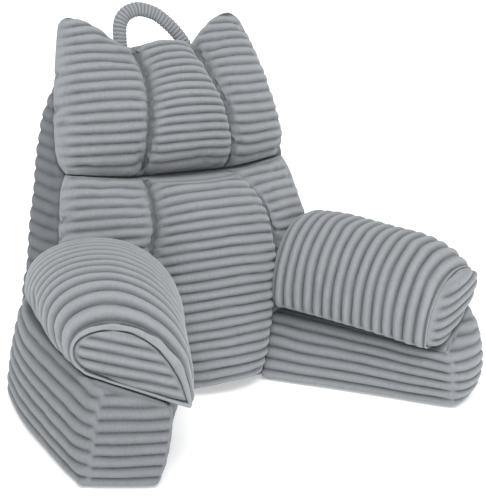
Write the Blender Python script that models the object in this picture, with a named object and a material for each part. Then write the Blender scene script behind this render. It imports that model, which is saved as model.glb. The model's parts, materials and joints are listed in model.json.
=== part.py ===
"""Reading pillow with arms in wide-ribbed plush.

A wedge-shaped back stands on the floor and leans away from the reader. Two channelled cushions,
the head section with its two ears and the lumbar section, are sewn to its front. Two low arm
bases flare forward from its sides, and a half-round pad with a ribbed end panel and a folded
hem lies on each base. A carry handle stands on the top edge.

Metres, +Z up, the reader faces -Y, +X is the right side of a viewer who looks at the front.
The origin is on the floor at the middle of the pillow.
"""
import math

import bmesh
import bpy
from mathutils import Vector

# ---------------------------------------------------------------- driving dimensions
GAP = 0.0004                 # clearance between pieces that touch
MERGE = 0.00005
RIB_RISE = 0.0019            # a rib's crown above, and its groove below, the mean surface
RIB_ANGLE = math.radians(28.0)   # edges that turn more than this are crowns and grooves
BASE_RIB_PITCH = 0.0186

FRONT_LINE_Y = 0.025         # the back's front plane where it meets the floor
LEAN = 0.344                 # how far that plane goes back for each metre of height
JUNCTION_Z = 0.3780          # the sewn line between the lumbar and head sections, in the middle
JUNCTION_RISE = 0.0150       # and how much higher it is at the outer edges
HEAD_RIBS = 16
LUMBAR_RIBS = 23
HEAD_END_POWER = 7.0         # how squarely a cushion is closed at its two ends
LUMBAR_END_POWER = 9.0
CENTRE_SWELL = 0.014         # how much further the centre channel stands out
GROOVE_DEPTH = 0.013         # a sewn channel seam
GROOVE_WIDTH = 0.010
CENTRE_COLUMNS = 6
SIDE_COLUMNS = 5

SHELL_TOP_Z = 0.572
SHELL_RIBS = 34
GUSSET_BULGE = 0.003
REAR_CROWN = 0.016
REAR_CORNER = 0.035          # rounding where the gusset turns into the rear panel
EAR_REAR_CROWN = 0.011       # how far the ears swell rearwards above the wedge
EAR_FREE_Z = 0.595
EAR_FREE_SHARE = 0.25        # the swell starts outside the handle's feet

ARM_ROOT_X = 0.100           # where the arm's own axis starts, at the foot of the back
ARM_ROOT_Y = FRONT_LINE_Y - 0.020
ARM_FLARE = math.radians(30.0)
ARM_REACH = {"left": 1.010, "right": 0.970}   # the right arm is a little shorter
SIDE_SIGN = {"left": -1, "right": 1}
BASE_LENGTH = 0.362
BASE_REAR_REACH = -0.110     # behind the interface, before the base is cut off there
BASE_CROWN = 0.011           # how far the base's sides bulge between top and bottom
BASE_END_BOW = 0.006
BASE_INNER_STEPS = 8
BASE_END_STEPS = 4
BASE_OUTER_STEPS = 10
BASE_LEVELS = 25
BASE_TOP_SPREADS = (0.66, 0.33)
CUTTER_LEVELS = (0.0, 0.007, 0.018, 0.034, 0.052, 0.072, 0.092, 0.108, 0.122, 0.150, 0.30)
CUTTER_MARGIN = 0.010
INTERFACE_ALONG = -0.008     # the plane where an arm base is sewn to the back
INTERFACE_SLOPE = -0.185
INNER_TOP_REAR = (0.028, 0.130)    # across, height of the base's inner top edge
INNER_TOP_FRONT = (0.006, 0.107)
TOP_SLOPE_REAR = 0.225
TOP_SLOPE_FRONT = 0.560

PAD_RIBS = 15
PAD_SEAT_GAP = 0.0010
PAD_REAR = 0.020
PAD_FRONT = 0.316
PAD_END_RINGS = ((0.35, 0.022), (0.75, 0.016), (0.93, 0.007))   # share of the outline, reach
PAD_END_LIMIT = -0.045
BACK_SURFACE_STEPS = 5
PAD_BACK_GAP = 0.0082        # from the back's mean surface, with both their ribs between
PAD_GUSSET_GAP = 0.0210      # beside the back, where the pad's end turns its corner
GUSSET_RUN = 3.0             # slope of the limit beside the back, almost straight rearwards
PAD_SKEW = {"left": 0.0, "right": 0.22}   # how much further the pad's outer side reaches
PAD_SKEW_CENTRE = 0.030
PAD_FOOT_INSET = 0.028       # from the pad's widest line in to where it lifts off the base
PAD_WIDEST_RISE = 0.036
HEM_WIDTH = 0.019
HEM_THICKNESS = 0.0070
PANEL_INSET = 0.0078
PANEL_THICKNESS = 0.005
PANEL_CROWN = 0.006
PANEL_RIBS = 7
PANEL_COLUMNS = 7
PANEL_RIB_TILT = math.radians(11.0)

STRAP_WIDTH = 0.025
STRAP_THICKNESS = 0.013
STRAP_RIBS = 36
STRAP_SIDES = 8
STRAP_RISE = 0.0011

# ---------------------------------------------------------------- short tables
# front outline of the head section: height, half width, seam
HEAD_OUTLINE = (
    (0.378, 0.222, 0.092),
    (0.393, 0.230, 0.092),
    (0.410, 0.2410, 0.091),
    (0.450, 0.2435, 0.086),
    (0.500, 0.2355, 0.077),
    (0.546, 0.2265, 0.068),
    (0.600, 0.2135, 0.064),
    (0.640, 0.2030, 0.058),
    (0.662, 0.1940, 0.055),
)
# how far a cushion's seams stand out: share of its height, depth
HEAD_SWELL = (
    (0.00, 0.018),
    (0.12, 0.045),
    (0.28, 0.059),
    (0.42, 0.063),
    (0.55, 0.060),
    (0.75, 0.043),
    (0.88, 0.022),
    (1.00, 0.006),
)
# top edge of a side channel: share of the way from seam to outer edge, height
EAR_OUTLINE = (
    (0.00, 0.6030),
    (0.20, 0.6120),
    (0.45, 0.6260),
    (0.70, 0.6450),
    (0.88, 0.6600),
    (0.96, 0.6590),
    (1.00, 0.6480),
)
HEAD_CENTRE_TOP = 0.6110
# front outline of the lumbar section: height, half width, seam
LUMBAR_OUTLINE = (
    (0.000, 0.170, 0.092),
    (0.050, 0.200, 0.104),
    (0.100, 0.230, 0.118),
    (0.150, 0.252, 0.130),
    (0.200, 0.260, 0.137),
    (0.235, 0.267, 0.133),
    (0.273, 0.266, 0.123),
    (0.316, 0.258, 0.113),
    (0.342, 0.252, 0.105),
    (0.369, 0.245, 0.094),
    (0.393, 0.232, 0.092),
)
LUMBAR_SWELL = (
    (0.00, 0.018),
    (0.06, 0.032),
    (0.15, 0.042),
    (0.30, 0.052),
    (0.50, 0.064),
    (0.62, 0.075),
    (0.72, 0.083),
    (0.80, 0.079),
    (0.88, 0.063),
    (0.96, 0.038),
    (1.00, 0.022),
)
# a back cushion: outline, swell, how squarely its ends close, power and root of its side's curve
HEAD = (HEAD_OUTLINE, HEAD_SWELL, HEAD_END_POWER, 3.0, 0.7)
LUMBAR = (LUMBAR_OUTLINE, LUMBAR_SWELL, LUMBAR_END_POWER, 1.6, 0.95)
# wedge behind the cushions: height, half width at the front, half width at the rear, depth
SHELL_OUTLINE = (
    (0.000, 0.330, 0.300, 0.205),
    (0.080, 0.306, 0.290, 0.193),
    (0.160, 0.280, 0.288, 0.181),
    (0.220, 0.265, 0.277, 0.171),
    (0.300, 0.259, 0.262, 0.159),
    (0.400, 0.243, 0.239, 0.138),
    (0.453, 0.241, 0.228, 0.121),
    (0.505, 0.232, 0.218, 0.096),
    (0.549, 0.214, 0.200, 0.062),
    (0.572, 0.200, 0.182, 0.017),
)
# outer side of an arm base: along, across at the floor, across at the top
BASE_OUTER = (
    (0.362, 0.133, 0.111),
    (0.300, 0.166, 0.146),
    (0.220, 0.204, 0.190),
    (0.146, 0.238, 0.228),
    (0.060, 0.270, 0.250),
    (-0.005, 0.289, 0.258),
    (-0.035, 0.293, 0.260),
    (-0.065, 0.284, 0.252),
    (-0.110, 0.256, 0.230),
)
# inner side of an arm base: along, across at the floor, across at the top
BASE_INNER = (
    (-0.110, -0.022, 0.033),
    (-0.006, -0.010, 0.028),
    (0.170, 0.012, 0.018),
    (0.362, 0.029, 0.006),
)
# arm pad: along, inner tip across, inner tip height, crest across, crest height, outer across
PAD_SECTIONS = (
    (0.010, -0.012, 0.152, 0.125, 0.296, 0.252),
    (0.080, -0.016, 0.147, 0.120, 0.305, 0.244),
    (0.160, -0.021, 0.140, 0.112, 0.303, 0.224),
    (0.240, -0.027, 0.130, 0.104, 0.290, 0.197),
    (0.290, -0.031, 0.121, 0.095, 0.266, 0.171),
    (0.316, -0.033, 0.116, 0.088, 0.243, 0.153),
)
# middle line of the carry handle on the back's own slope: x, height
STRAP_ROUTE = (
    (-0.064, 0.578),
    (-0.067, 0.594),
    (-0.076, 0.614),
    (-0.077, 0.636),
    (-0.069, 0.655),
    (-0.053, 0.668),
    (-0.032, 0.676),
    (-0.009, 0.676),
    (0.011, 0.671),
    (0.028, 0.660),
    (0.043, 0.645),
    (0.055, 0.627),
    (0.062, 0.610),
    (0.064, 0.594),
    (0.063, 0.578),
)

# ---------------------------------------------------------------- finishes
PLUSH = {"grey": (0.30, 0.315, 0.33), "light": (0.345, 0.36, 0.375), "shade": (0.235, 0.245, 0.262)}


def plush(name, shade):
    """Return a plush material of the named shade."""
    material = bpy.data.materials.new(name)
    material.use_nodes = True
    principled = material.node_tree.nodes["Principled BSDF"]
    principled.inputs["Base Color"].default_value = (*PLUSH[shade], 1.0)
    principled.inputs["Roughness"].default_value = 0.9
    principled.inputs["Metallic"].default_value = 0.0
    principled.inputs["Sheen Weight"].default_value = 0.4
    return material


# ---------------------------------------------------------------- numbers along curves
def mix(a, b, share):
    """Return the value that lies the given share of the way from a to b."""
    return a + (b - a) * share


def read(table, key, column):
    """Read a column of a table at a key in its first column, on a smooth curve."""
    rows = table if table[0][0] < table[-1][0] else table[::-1]
    key = min(max(key, rows[0][0]), rows[-1][0])
    index = max(i for i in range(len(rows) - 1) if rows[i][0] <= key)
    low, high = rows[index], rows[index + 1]
    before = rows[max(index - 1, 0)]
    after = rows[min(index + 2, len(rows) - 1)]
    width = high[0] - low[0]
    share = (key - low[0]) / width
    start = (high[column] - before[column]) / (high[0] - before[0]) * width
    end = (after[column] - low[column]) / (after[0] - low[0]) * width
    cube, square = share ** 3, share ** 2
    return (
        (2 * cube - 3 * square + 1) * low[column]
        + (cube - 2 * square + share) * start
        + (3 * square - 2 * cube) * high[column]
        + (cube - square) * end
    )


def dome(share, power):
    """Rise from 0 at share -1 through 1 at the middle to 0 at share 1."""
    return max(0.0, 1.0 - abs(share) ** power) ** (1.0 / power)


def front_plane(height):
    """Return Y of the back's front plane at a height."""
    return FRONT_LINE_Y + LEAN * height


def backwards():
    """Return the direction straight out of the back's front plane, away from the reader."""
    return Vector((0.0, 1.0, -LEAN)).normalized()


def plane_point(x, height, depth):
    """Return the point that stands a depth in front of the front plane, square to it."""
    return Vector((x, front_plane(height), height)) - backwards() * depth


# ---------------------------------------------------------------- mesh helpers
def add_row(bm, points):
    """Add one row of vertices."""
    return [bm.verts.new(point) for point in points]


def join_rows(bm, rows, closed):
    """Join neighbouring rows of vertices with quads, round and round where closed."""
    for low, high in zip(rows, rows[1:]):
        count = len(low)
        for i in range(count if closed else count - 1):
            j = (i + 1) % count
            bm.faces.new((low[i], low[j], high[j], high[i]))


def finish(name, bm, shade):
    """Turn a bmesh into a named object whose faces point outwards, its ribs left crisp."""
    bmesh.ops.remove_doubles(bm, verts=bm.verts, dist=MERGE)
    bmesh.ops.recalc_face_normals(bm, faces=bm.faces)
    if bm.calc_volume(signed=True) < 0:
        bmesh.ops.reverse_faces(bm, faces=bm.faces)
    mesh = bpy.data.meshes.new(name)
    bm.to_mesh(mesh)
    bm.free()
    mesh.shade_smooth()
    mesh.set_sharp_from_angle(angle=RIB_ANGLE)
    mesh.materials.append(plush(name + "_plush", shade))
    part = bpy.data.objects.new(name, mesh)
    bpy.context.collection.objects.link(part)
    return part


def cut(part, cutter):
    """Take the cutter's space away from a part."""
    cutter.hide_render = True
    cutter.display_type = "WIRE"
    boolean = part.modifiers.new("cut_" + cutter.name, "BOOLEAN")
    boolean.operation = "DIFFERENCE"
    boolean.solver = "EXACT"
    boolean.object = cutter


# ---------------------------------------------------------------- the back's cushions
def channel_columns():
    """Return the columns of a three-channel cushion as (channel, share) pairs, left to right.

    The channel is -1, 0 or 1, and the share runs from the seam to the outer edge in a side
    channel and from the left seam to the right one in the centre.
    """
    left = [(-1, 1 - i / SIDE_COLUMNS) for i in range(SIDE_COLUMNS)]
    centre = [(0, i / CENTRE_COLUMNS) for i in range(CENTRE_COLUMNS + 1)]
    right = [(1, (i + 1) / SIDE_COLUMNS) for i in range(SIDE_COLUMNS)]
    return left + centre + right


def cushion_depth(x, height, rise, cushion):
    """Return how far a back cushion stands proud: domed, with a groove at each channel seam."""
    outline, swells, _, power, root = cushion
    half_width = read(outline, height, 1)
    seam = read(outline, height, 2)
    swell = read(swells, rise, 1)
    edge = max(0.0, 1.0 - abs(x / half_width) ** power) ** root
    edge_at_seam = (1.0 - (seam / half_width) ** power) ** root
    centre = CENTRE_SWELL * max(0.0, 1.0 - (x / seam) ** 2)
    groove = GROOVE_DEPTH * math.exp(-abs(abs(x) - seam) / GROOVE_WIDTH)
    return (swell + GROOVE_DEPTH) * edge / edge_at_seam + centre - groove


def channel_point(channel, share, height, rise, cushion, rib):
    """Return a point of a channelled cushion's front.

    rise is the height's share of the cushion's own height at this column, cushion is the row
    of its tables and powers, and rib is the rib's own rise.
    """
    outline, end_power = cushion[0], cushion[2]
    half_width = read(outline, height, 1)
    seam = read(outline, height, 2)
    if channel == 0:
        x = mix(-seam, seam, share)
    else:
        x = channel * mix(seam, half_width, share)
    fall = dome(2 * rise - 1, end_power)
    if channel != 0 and share > 0.999:
        return plane_point(x + channel * rib * fall, height, 0.0)
    return plane_point(x, height, (cushion_depth(x, height, rise, cushion) + rib) * fall)


def junction(channel, share):
    """Return the height of the sewn line between the two cushions at a column."""
    if channel == 0:
        return JUNCTION_Z
    return JUNCTION_Z + JUNCTION_RISE * share ** 1.5


def ear_rear_depth(channel, share, height, top):
    """Return how far the head section swells rearwards at a place: only its free ears do."""
    outwards = (share - EAR_FREE_SHARE) / (1 - EAR_FREE_SHARE)
    if channel == 0 or height < EAR_FREE_Z or outwards < 0:
        return 0.0
    rise = (height - EAR_FREE_Z) / (top - EAR_FREE_Z)
    return EAR_REAR_CROWN * dome(2 * outwards - 1, 2.0) * dome(2 * rise - 1, 2.0)


def head_section():
    """Make the upper cushion with its two ears."""
    bm = bmesh.new()
    rows = []
    rear_rows = []
    steps = 2 * HEAD_RIBS
    for step in range(steps + 1):
        rise = step / steps
        rib = RIB_RISE if step % 2 else -RIB_RISE
        row = []
        rear_row = []
        for channel, share in channel_columns():
            if channel:
                top = read(EAR_OUTLINE, share, 1)
            else:
                top = mix(EAR_OUTLINE[0][1], HEAD_CENTRE_TOP, dome(2 * share - 1, 2.0))
            height = mix(junction(channel, share) + GAP, top, rise)
            point = channel_point(channel, share, height, rise, HEAD, rib)
            row.append(point)
            rear_y = front_plane(height) + ear_rear_depth(channel, share, height, top)
            rear_row.append(Vector((point.x, rear_y, height)))
        rows.append(add_row(bm, row))
        rear_rows.append(add_row(bm, rear_row))
    join_rows(bm, rows, closed=False)
    join_rows(bm, rear_rows, closed=False)
    return finish("head_section", bm, "grey")


def lumbar_section():
    """Make the lower cushion, barrel-shaped in the middle and drawn in at the floor."""
    bm = bmesh.new()
    rows = []
    steps = 2 * LUMBAR_RIBS
    for step in range(steps + 1):
        rise = step / steps
        rib = RIB_RISE if step % 2 else -RIB_RISE
        row = []
        for channel, share in channel_columns():
            height = mix(GAP, junction(channel, share) - GAP, rise)
            row.append(channel_point(channel, share, height, rise, LUMBAR, rib))
        rows.append(add_row(bm, row))
    join_rows(bm, rows, closed=False)
    left = [row[0] for row in rows]
    right = [row[-1] for row in rows]
    bm.faces.new(rows[0] + right[1:-1] + rows[-1][::-1] + left[-2:0:-1])
    return finish("lumbar_section", bm, "grey")


# ---------------------------------------------------------------- the wedge behind them
def shell_ring(height, rib):
    """Return one level section of the wedge: its front line, gussets and crowned rear."""
    front_y = front_plane(height) + GAP
    front_x, rear_x, depth = (read(SHELL_OUTLINE, height, column) for column in (1, 2, 3))
    rear_y = front_y + depth
    corner = min(REAR_CORNER, 0.45 * depth)
    swell = min(REAR_CROWN, 0.5 * depth)
    bulge = mix(front_x, rear_x, 0.35) + GUSSET_BULGE
    side = [(front_x, front_y), (bulge + rib, front_y + 0.35 * depth)]
    corner_x, corner_y = rear_x - corner, rear_y - corner
    for turn in (0, 45, 90):
        angle = math.radians(turn)
        reach = corner + rib
        side.append((corner_x + reach * math.cos(angle), corner_y + reach * math.sin(angle)))
    rear = []
    for share in (0.5, 0.0, -0.5):
        rear.append((corner_x * share, rear_y + swell * (1 - share * share) + rib))
    points = side + rear + [(-x, y) for x, y in reversed(side)]
    return [Vector((x, y, height)) for x, y in points]


def back_shell():
    """Make the wedge with its ribbed gussets and rear panel."""
    bm = bmesh.new()
    rows = []
    steps = 2 * SHELL_RIBS
    for step in range(steps + 1):
        rib = RIB_RISE if step % 2 else -RIB_RISE
        rows.append(add_row(bm, shell_ring(SHELL_TOP_Z * step / steps, rib)))
    join_rows(bm, rows, closed=True)
    bm.faces.new(rows[0])
    bm.faces.new(rows[-1])
    return finish("back_shell", bm, "shade")


# ---------------------------------------------------------------- the arms
def arm_point(side, across, along, height):
    """Return a point given in the arm's own directions: across it outwards, and along it."""
    reach = along * ARM_REACH[side]
    x = ARM_ROOT_X + across * math.cos(ARM_FLARE) + reach * math.sin(ARM_FLARE)
    y = ARM_ROOT_Y + across * math.sin(ARM_FLARE) - reach * math.cos(ARM_FLARE)
    return Vector((SIDE_SIGN[side] * x, y, height))


def base_top(across, along):
    """Return the height of the base's top, on which the pad lies."""
    share = (along + 0.02) / (BASE_LENGTH + 0.02)
    inner_across = mix(INNER_TOP_REAR[0], INNER_TOP_FRONT[0], share)
    inner_height = mix(INNER_TOP_REAR[1], INNER_TOP_FRONT[1], share)
    slope = mix(TOP_SLOPE_REAR, TOP_SLOPE_FRONT, share)
    return inner_height + slope * (across - inner_across)


def base_stations():
    """Return the places round a base's plan as (face, share) pairs."""
    inner = [("inner", i / BASE_INNER_STEPS) for i in range(BASE_INNER_STEPS)]
    end = [("end", i / BASE_END_STEPS) for i in range(BASE_END_STEPS)]
    outer = [("outer", i / BASE_OUTER_STEPS) for i in range(BASE_OUTER_STEPS + 1)]
    return inner + end + outer


def base_plan(face, share, lift, widen):
    """Return (across, along) of a station at a share of the base's height."""
    swell = BASE_CROWN * dome(2 * lift - 1, 2.5) + widen
    front = BASE_LENGTH + 0.8 * swell
    if face == "inner":
        along = mix(BASE_REAR_REACH, BASE_LENGTH, share)
        across = mix(read(BASE_INNER, along, 1), read(BASE_INNER, along, 2), lift)
        return across - swell, mix(BASE_REAR_REACH, front, share)
    if face == "outer":
        along = mix(BASE_LENGTH, BASE_REAR_REACH, share)
        across = mix(read(BASE_OUTER, along, 1), read(BASE_OUTER, along, 2), lift)
        return across + swell, mix(front, BASE_REAR_REACH, share)
    inner_corner = mix(BASE_INNER[-1][1], BASE_INNER[-1][2], lift) - swell
    outer_corner = mix(BASE_OUTER[0][1], BASE_OUTER[0][2], lift) + swell
    return mix(inner_corner, outer_corner, share), front + BASE_END_BOW * dome(2 * share - 1, 2.0)


def base_ring(side, level, rib, widen, raise_top):
    """Return one ring of a base, no higher anywhere than its sloping top."""
    ring = []
    for face, share in base_stations():
        top = base_top(*base_plan(face, share, 1.0, widen))
        height = min(level, top)
        below_top = level < top
        across, along = base_plan(face, share, height / top, widen + (rib if below_top else 0.0))
        ring.append(arm_point(side, across, along, height + (0.0 if below_top else raise_top)))
    return ring


def arm_base(side, name, levels, ribbed, widen, raise_top):
    """Make an arm base, or for a cutter the plain and slightly wider space around it."""
    bm = bmesh.new()
    rows = []
    for step, level in enumerate(levels):
        rib = (RIB_RISE if step % 2 else -RIB_RISE) if ribbed else 0.0
        rows.append(add_row(bm, base_ring(side, level, rib, widen, raise_top)))
    if not ribbed:
        for vertex in rows[0]:
            vertex.co.z -= CUTTER_MARGIN
    plan = [base_plan(face, share, 1.0, widen) for face, share in base_stations()]
    middle_across = sum(across for across, along in plan) / len(plan)
    middle_along = sum(along for across, along in plan) / len(plan)
    for spread in BASE_TOP_SPREADS:
        row = []
        for across, along in plan:
            inward_across = mix(middle_across, across, spread)
            inward_along = mix(middle_along, along, spread)
            height = base_top(inward_across, inward_along) + raise_top
            row.append(arm_point(side, inward_across, inward_along, height))
        rows.append(add_row(bm, row))
    join_rows(bm, rows, closed=True)
    bm.faces.new(rows[0])
    bm.faces.new(rows[-1])
    bmesh.ops.remove_doubles(bm, verts=bm.verts, dist=MERGE)
    cut_at_interface(bm, side, widen)
    return finish(name, bm, "grey")


def cut_at_interface(bm, side, widen):
    """Cut a base off flat where it is sewn to the back."""
    start = arm_point(side, 0.0, INTERFACE_ALONG - widen, 0.0)
    end = arm_point(side, 0.3, INTERFACE_ALONG - widen + 0.3 * INTERFACE_SLOPE, 0.0)
    rearward = (end - start).cross(Vector((0.0, 0.0, 1.0)))
    if rearward.y < 0:
        rearward.negate()
    bmesh.ops.bisect_plane(
        bm, geom=bm.verts[:] + bm.edges[:] + bm.faces[:], dist=MERGE,
        plane_co=start, plane_no=rearward, clear_outer=True,
    )
    bmesh.ops.holes_fill(bm, edges=[edge for edge in bm.edges if edge.is_boundary], sides=0)


def pad_outline(along, rib):
    """Return a pad's cross-section as (across, height) pairs, from its inner tip round under it."""
    tip, tip_height, crest, crest_height, outer = (read(PAD_SECTIONS, along, i) for i in range(1, 6))
    foot = outer - PAD_FOOT_INSET

    def seat(across):
        return base_top(across, along) + PAD_SEAT_GAP

    widest_height = seat(foot) + PAD_WIDEST_RISE
    curl = tip_height - seat(tip)
    under = [(tip, tip_height)]
    for share in (0.12, 0.25, 0.5, 0.75, 1.0):
        across = mix(tip, foot, share)
        under.append((across, seat(across) + curl * max(0.0, 1.0 - 4.0 * share) ** 1.5))
    arch = []
    for turn in (30, 60, 90):
        angle = math.radians(turn)
        across = mix(foot, outer, math.sin(angle))
        arch.append((across, mix(widest_height, seat(across), math.cos(angle))))
    for turn in (22, 45, 68, 90):
        angle = math.radians(turn)
        arch.append((
            mix(crest, outer, math.cos(angle) ** 0.9),
            mix(widest_height, crest_height, math.sin(angle) ** 0.9),
        ))
    for turn in (15, 30, 45, 60, 75):
        angle = math.radians(turn)
        arch.append((
            mix(crest, tip, math.sin(angle) ** 1.05),
            mix(tip_height, crest_height, math.cos(angle) ** 0.9),
        ))
    centre = Vector(((tip + outer) / 2, (tip_height + crest_height) / 2))
    ribbed = []
    for across, height in arch:
        outwards = (Vector((across, height)) - centre).normalized()
        ribbed.append((across + rib * outwards.x, height + rib * outwards.y))
    return under + ribbed


def inset(outline, depth):
    """Move a closed outline of (across, height) pairs inwards."""
    moved = []
    count = len(outline)
    for i, point in enumerate(outline):
        before = Vector(point) - Vector(outline[i - 1])
        after = Vector(outline[(i + 1) % count]) - Vector(point)
        normal_before = Vector((-before.y, before.x)).normalized()
        normal_after = Vector((-after.y, after.x)).normalized()
        mitre = (normal_before + normal_after) / max(0.5, 1 + normal_before.dot(normal_after))
        moved.append(tuple(Vector(point) + mitre * depth))
    return moved


def pad_point(side, across, along, height):
    """Return a point of a pad, given where it lies on a pad whose front end is square.

    The skewed end stays as high above the base's top as the square one.
    """
    share = min(1.0, max(0.0, (along - PAD_REAR) / (PAD_FRONT - PAD_REAR)))
    skewed = along + PAD_SKEW[side] * share * share * (across - PAD_SKEW_CENTRE)
    section = min(along, PAD_FRONT)
    rise = base_top(across, skewed) - base_top(across, section)
    return arm_point(side, across, skewed, height + rise)


def back_surface(x, height):
    """Return Y of the lumbar section's mean surface, or of the limit beside the back."""
    foot = height
    for _ in range(BACK_SURFACE_STEPS):
        if x > read(LUMBAR_OUTLINE, foot, 1):
            gusset = read(SHELL_OUTLINE, height, 1) + PAD_GUSSET_GAP
            return front_plane(height) + GUSSET_RUN * max(0.0, x - gusset)
        point = plane_point(x, foot, cushion_depth(x, foot, foot / JUNCTION_Z, LUMBAR))
        foot += height - point.z
    return point.y


def pad_rear(side, across, height):
    """Return the place along the arm where a line through the pad's rear end meets the back."""
    low, high = PAD_END_LIMIT, PAD_REAR
    while high - low > MERGE:
        middle = (low + high) / 2
        point = arm_point(side, across, middle, height)
        if point.y > back_surface(abs(point.x), height) - PAD_BACK_GAP:
            low = middle
        else:
            high = middle
    return high


def pad_end_ring(side, spread, reach):
    """Return a ring of a pad's rounded rear end, held off the back and the base's top."""
    outline = [Vector(point) for point in pad_outline(PAD_REAR, -RIB_RISE)]
    middle = sum(outline, Vector((0.0, 0.0))) / len(outline)
    ring = []
    for point in outline:
        across, height = mix(middle, point, spread)
        along = max(PAD_REAR - reach, pad_rear(side, across, height))
        ring.append(arm_point(side, across, along, height))
    return ring


def arm_pad(side):
    """Make a half-round arm pad with ribs around it, its rear end rounded off against the back."""
    bm = bmesh.new()
    rows = [add_row(bm, pad_end_ring(side, spread, reach)) for spread, reach in PAD_END_RINGS]
    steps = 2 * PAD_RIBS
    for step in range(steps + 1):
        along = mix(PAD_REAR, PAD_FRONT, step / steps)
        rib = RIB_RISE if step % 2 else -RIB_RISE
        rows.append(add_row(bm, [pad_point(side, a, along, h) for a, h in pad_outline(along, rib)]))
    join_rows(bm, rows, closed=True)
    bm.faces.new(rows[0])
    bm.faces.new(rows[-1])
    return finish(side + "_arm_pad", bm, "light")


def pad_hem(side):
    """Make the folded hem that stands proud around the pad's front end."""
    bm = bmesh.new()
    outline = pad_outline(PAD_FRONT, 0.0)
    fold = (
        (0.0004, 0.0),
        (-0.0006, 0.45),
        (0.0002, 0.85),
        (0.0022, 1.0),
        (0.0052, 0.96),
        (HEM_THICKNESS, 0.80),
        (HEM_THICKNESS, 0.0),
    )
    rows = []
    for depth, reach in fold:
        along = PAD_FRONT + GAP + HEM_WIDTH * reach
        rows.append(add_row(bm, [pad_point(side, a, along, h) for a, h in inset(outline, depth)]))
    join_rows(bm, rows + [rows[0]], closed=True)
    return finish(side + "_pad_hem", bm, "light")


def chord(outline, tilt, level):
    """Return where a line tilted outwards and upwards enters and leaves an outline."""
    rib_way = Vector((math.cos(tilt), math.sin(tilt)))
    across_way = Vector((-rib_way.y, rib_way.x))
    ends = []
    for i, point in enumerate(outline):
        start, end = Vector(outline[i - 1]), Vector(point)
        low, high = start.dot(across_way), end.dot(across_way)
        if (low - level) * (high - level) < 0:
            ends.append(mix(start, end, (level - low) / (high - low)).dot(rib_way))
    return [rib_way * reach + across_way * level for reach in (min(ends), max(ends))]


def pad_end(side):
    """Make the ribbed panel that closes a pad's front, set back inside the hem."""
    bm = bmesh.new()
    outline = inset(pad_outline(PAD_FRONT, 0.0), PANEL_INSET)
    across_way = Vector((-math.sin(PANEL_RIB_TILT), math.cos(PANEL_RIB_TILT)))
    levels = [Vector(point).dot(across_way) for point in outline]
    rows = []
    steps = 2 * PANEL_RIBS
    for step in range(steps + 1):
        rise = mix(0.02, 0.98, step / steps)
        start, end = chord(outline, PANEL_RIB_TILT, mix(min(levels), max(levels), rise))
        rib = RIB_RISE if step % 2 else -RIB_RISE
        row = []
        for column in range(PANEL_COLUMNS + 1):
            share = column / PANEL_COLUMNS
            across, height = mix(start, end, share)
            inside = dome(2 * share - 1, 2.5) * dome(2 * rise - 1, 3.0)
            depth = PANEL_THICKNESS + PANEL_CROWN * inside
            depth += rib if 0 < column < PANEL_COLUMNS and 0 < step < steps else 0.0
            row.append(pad_point(side, across, PAD_FRONT + GAP + depth, height))
        rows.append(add_row(bm, row))
    join_rows(bm, rows, closed=False)
    rim = rows[0] + [row[-1] for row in rows[1:-1]] + rows[-1][::-1] + [row[0] for row in rows[-2:0:-1]]
    forward = arm_point(side, 0.0, PANEL_THICKNESS, 0.0) - arm_point(side, 0.0, 0.0, 0.0)
    back = add_row(bm, [vertex.co - forward for vertex in rim])
    join_rows(bm, [rim, back], closed=True)
    bm.faces.new(back)
    return finish(side + "_pad_end", bm, "grey")


# ---------------------------------------------------------------- the handle
def strap_route(steps):
    """Return evenly spaced points along the strap's middle line."""
    table = [(index, *point) for index, point in enumerate(STRAP_ROUTE)]
    behind_head = backwards() * (GAP + STRAP_THICKNESS / 2 + STRAP_RISE)
    fine = 400
    last = len(table) - 1
    points = []
    for i in range(fine + 1):
        x, z = (read(table, last * i / fine, column) for column in (1, 2))
        points.append(Vector((x, front_plane(z), z)) + behind_head)
    travelled = [0.0]
    for low, high in zip(points, points[1:]):
        travelled.append(travelled[-1] + (high - low).length)
    even = []
    index = 0
    for i in range(steps + 1):
        wanted = travelled[-1] * i / steps
        while index < fine - 1 and travelled[index + 1] < wanted:
            index += 1
        share = (wanted - travelled[index]) / (travelled[index + 1] - travelled[index])
        even.append(mix(points[index], points[index + 1], share))
    return even


def carry_handle():
    """Make the stuffed strap with its fine cross ribs, its feet sewn behind the head section."""
    bm = bmesh.new()
    route = strap_route(2 * STRAP_RIBS)
    rows = []
    for i, middle in enumerate(route):
        way = (route[min(i + 1, len(route) - 1)] - route[max(i - 1, 0)]).normalized()
        outwards = way.cross(backwards()).normalized()
        rise = STRAP_RISE if i % 2 else -STRAP_RISE
        row = []
        for turn in range(STRAP_SIDES):
            angle = math.tau * turn / STRAP_SIDES
            flat = outwards * math.cos(angle) * (STRAP_WIDTH / 2 + rise)
            row.append(middle + flat + backwards() * math.sin(angle) * (STRAP_THICKNESS / 2 + rise))
        rows.append(add_row(bm, row))
    join_rows(bm, rows, closed=True)
    bm.faces.new(rows[0])
    bm.faces.new(rows[-1])
    return finish("carry_handle", bm, "grey")


def main():
    """Clear the scene, make every piece, and fit the back around the arm bases."""
    for old in list(bpy.data.objects):
        bpy.data.objects.remove(old, do_unlink=True)
    lumbar = lumbar_section()
    shell = back_shell()
    head_section()
    carry_handle()
    rib_levels = [step * BASE_RIB_PITCH / 2 for step in range(BASE_LEVELS)]
    for side in SIDE_SIGN:
        arm_base(side, side + "_arm_base", rib_levels, True, 0.0, 0.0)
        arm_pad(side)
        pad_end(side)
        pad_hem(side)
        space = arm_base(side, side + "_base_space", CUTTER_LEVELS, False, RIB_RISE + 2 * GAP, PAD_SEAT_GAP)
        cut(lumbar, space)
        cut(shell, space)


main()
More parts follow.
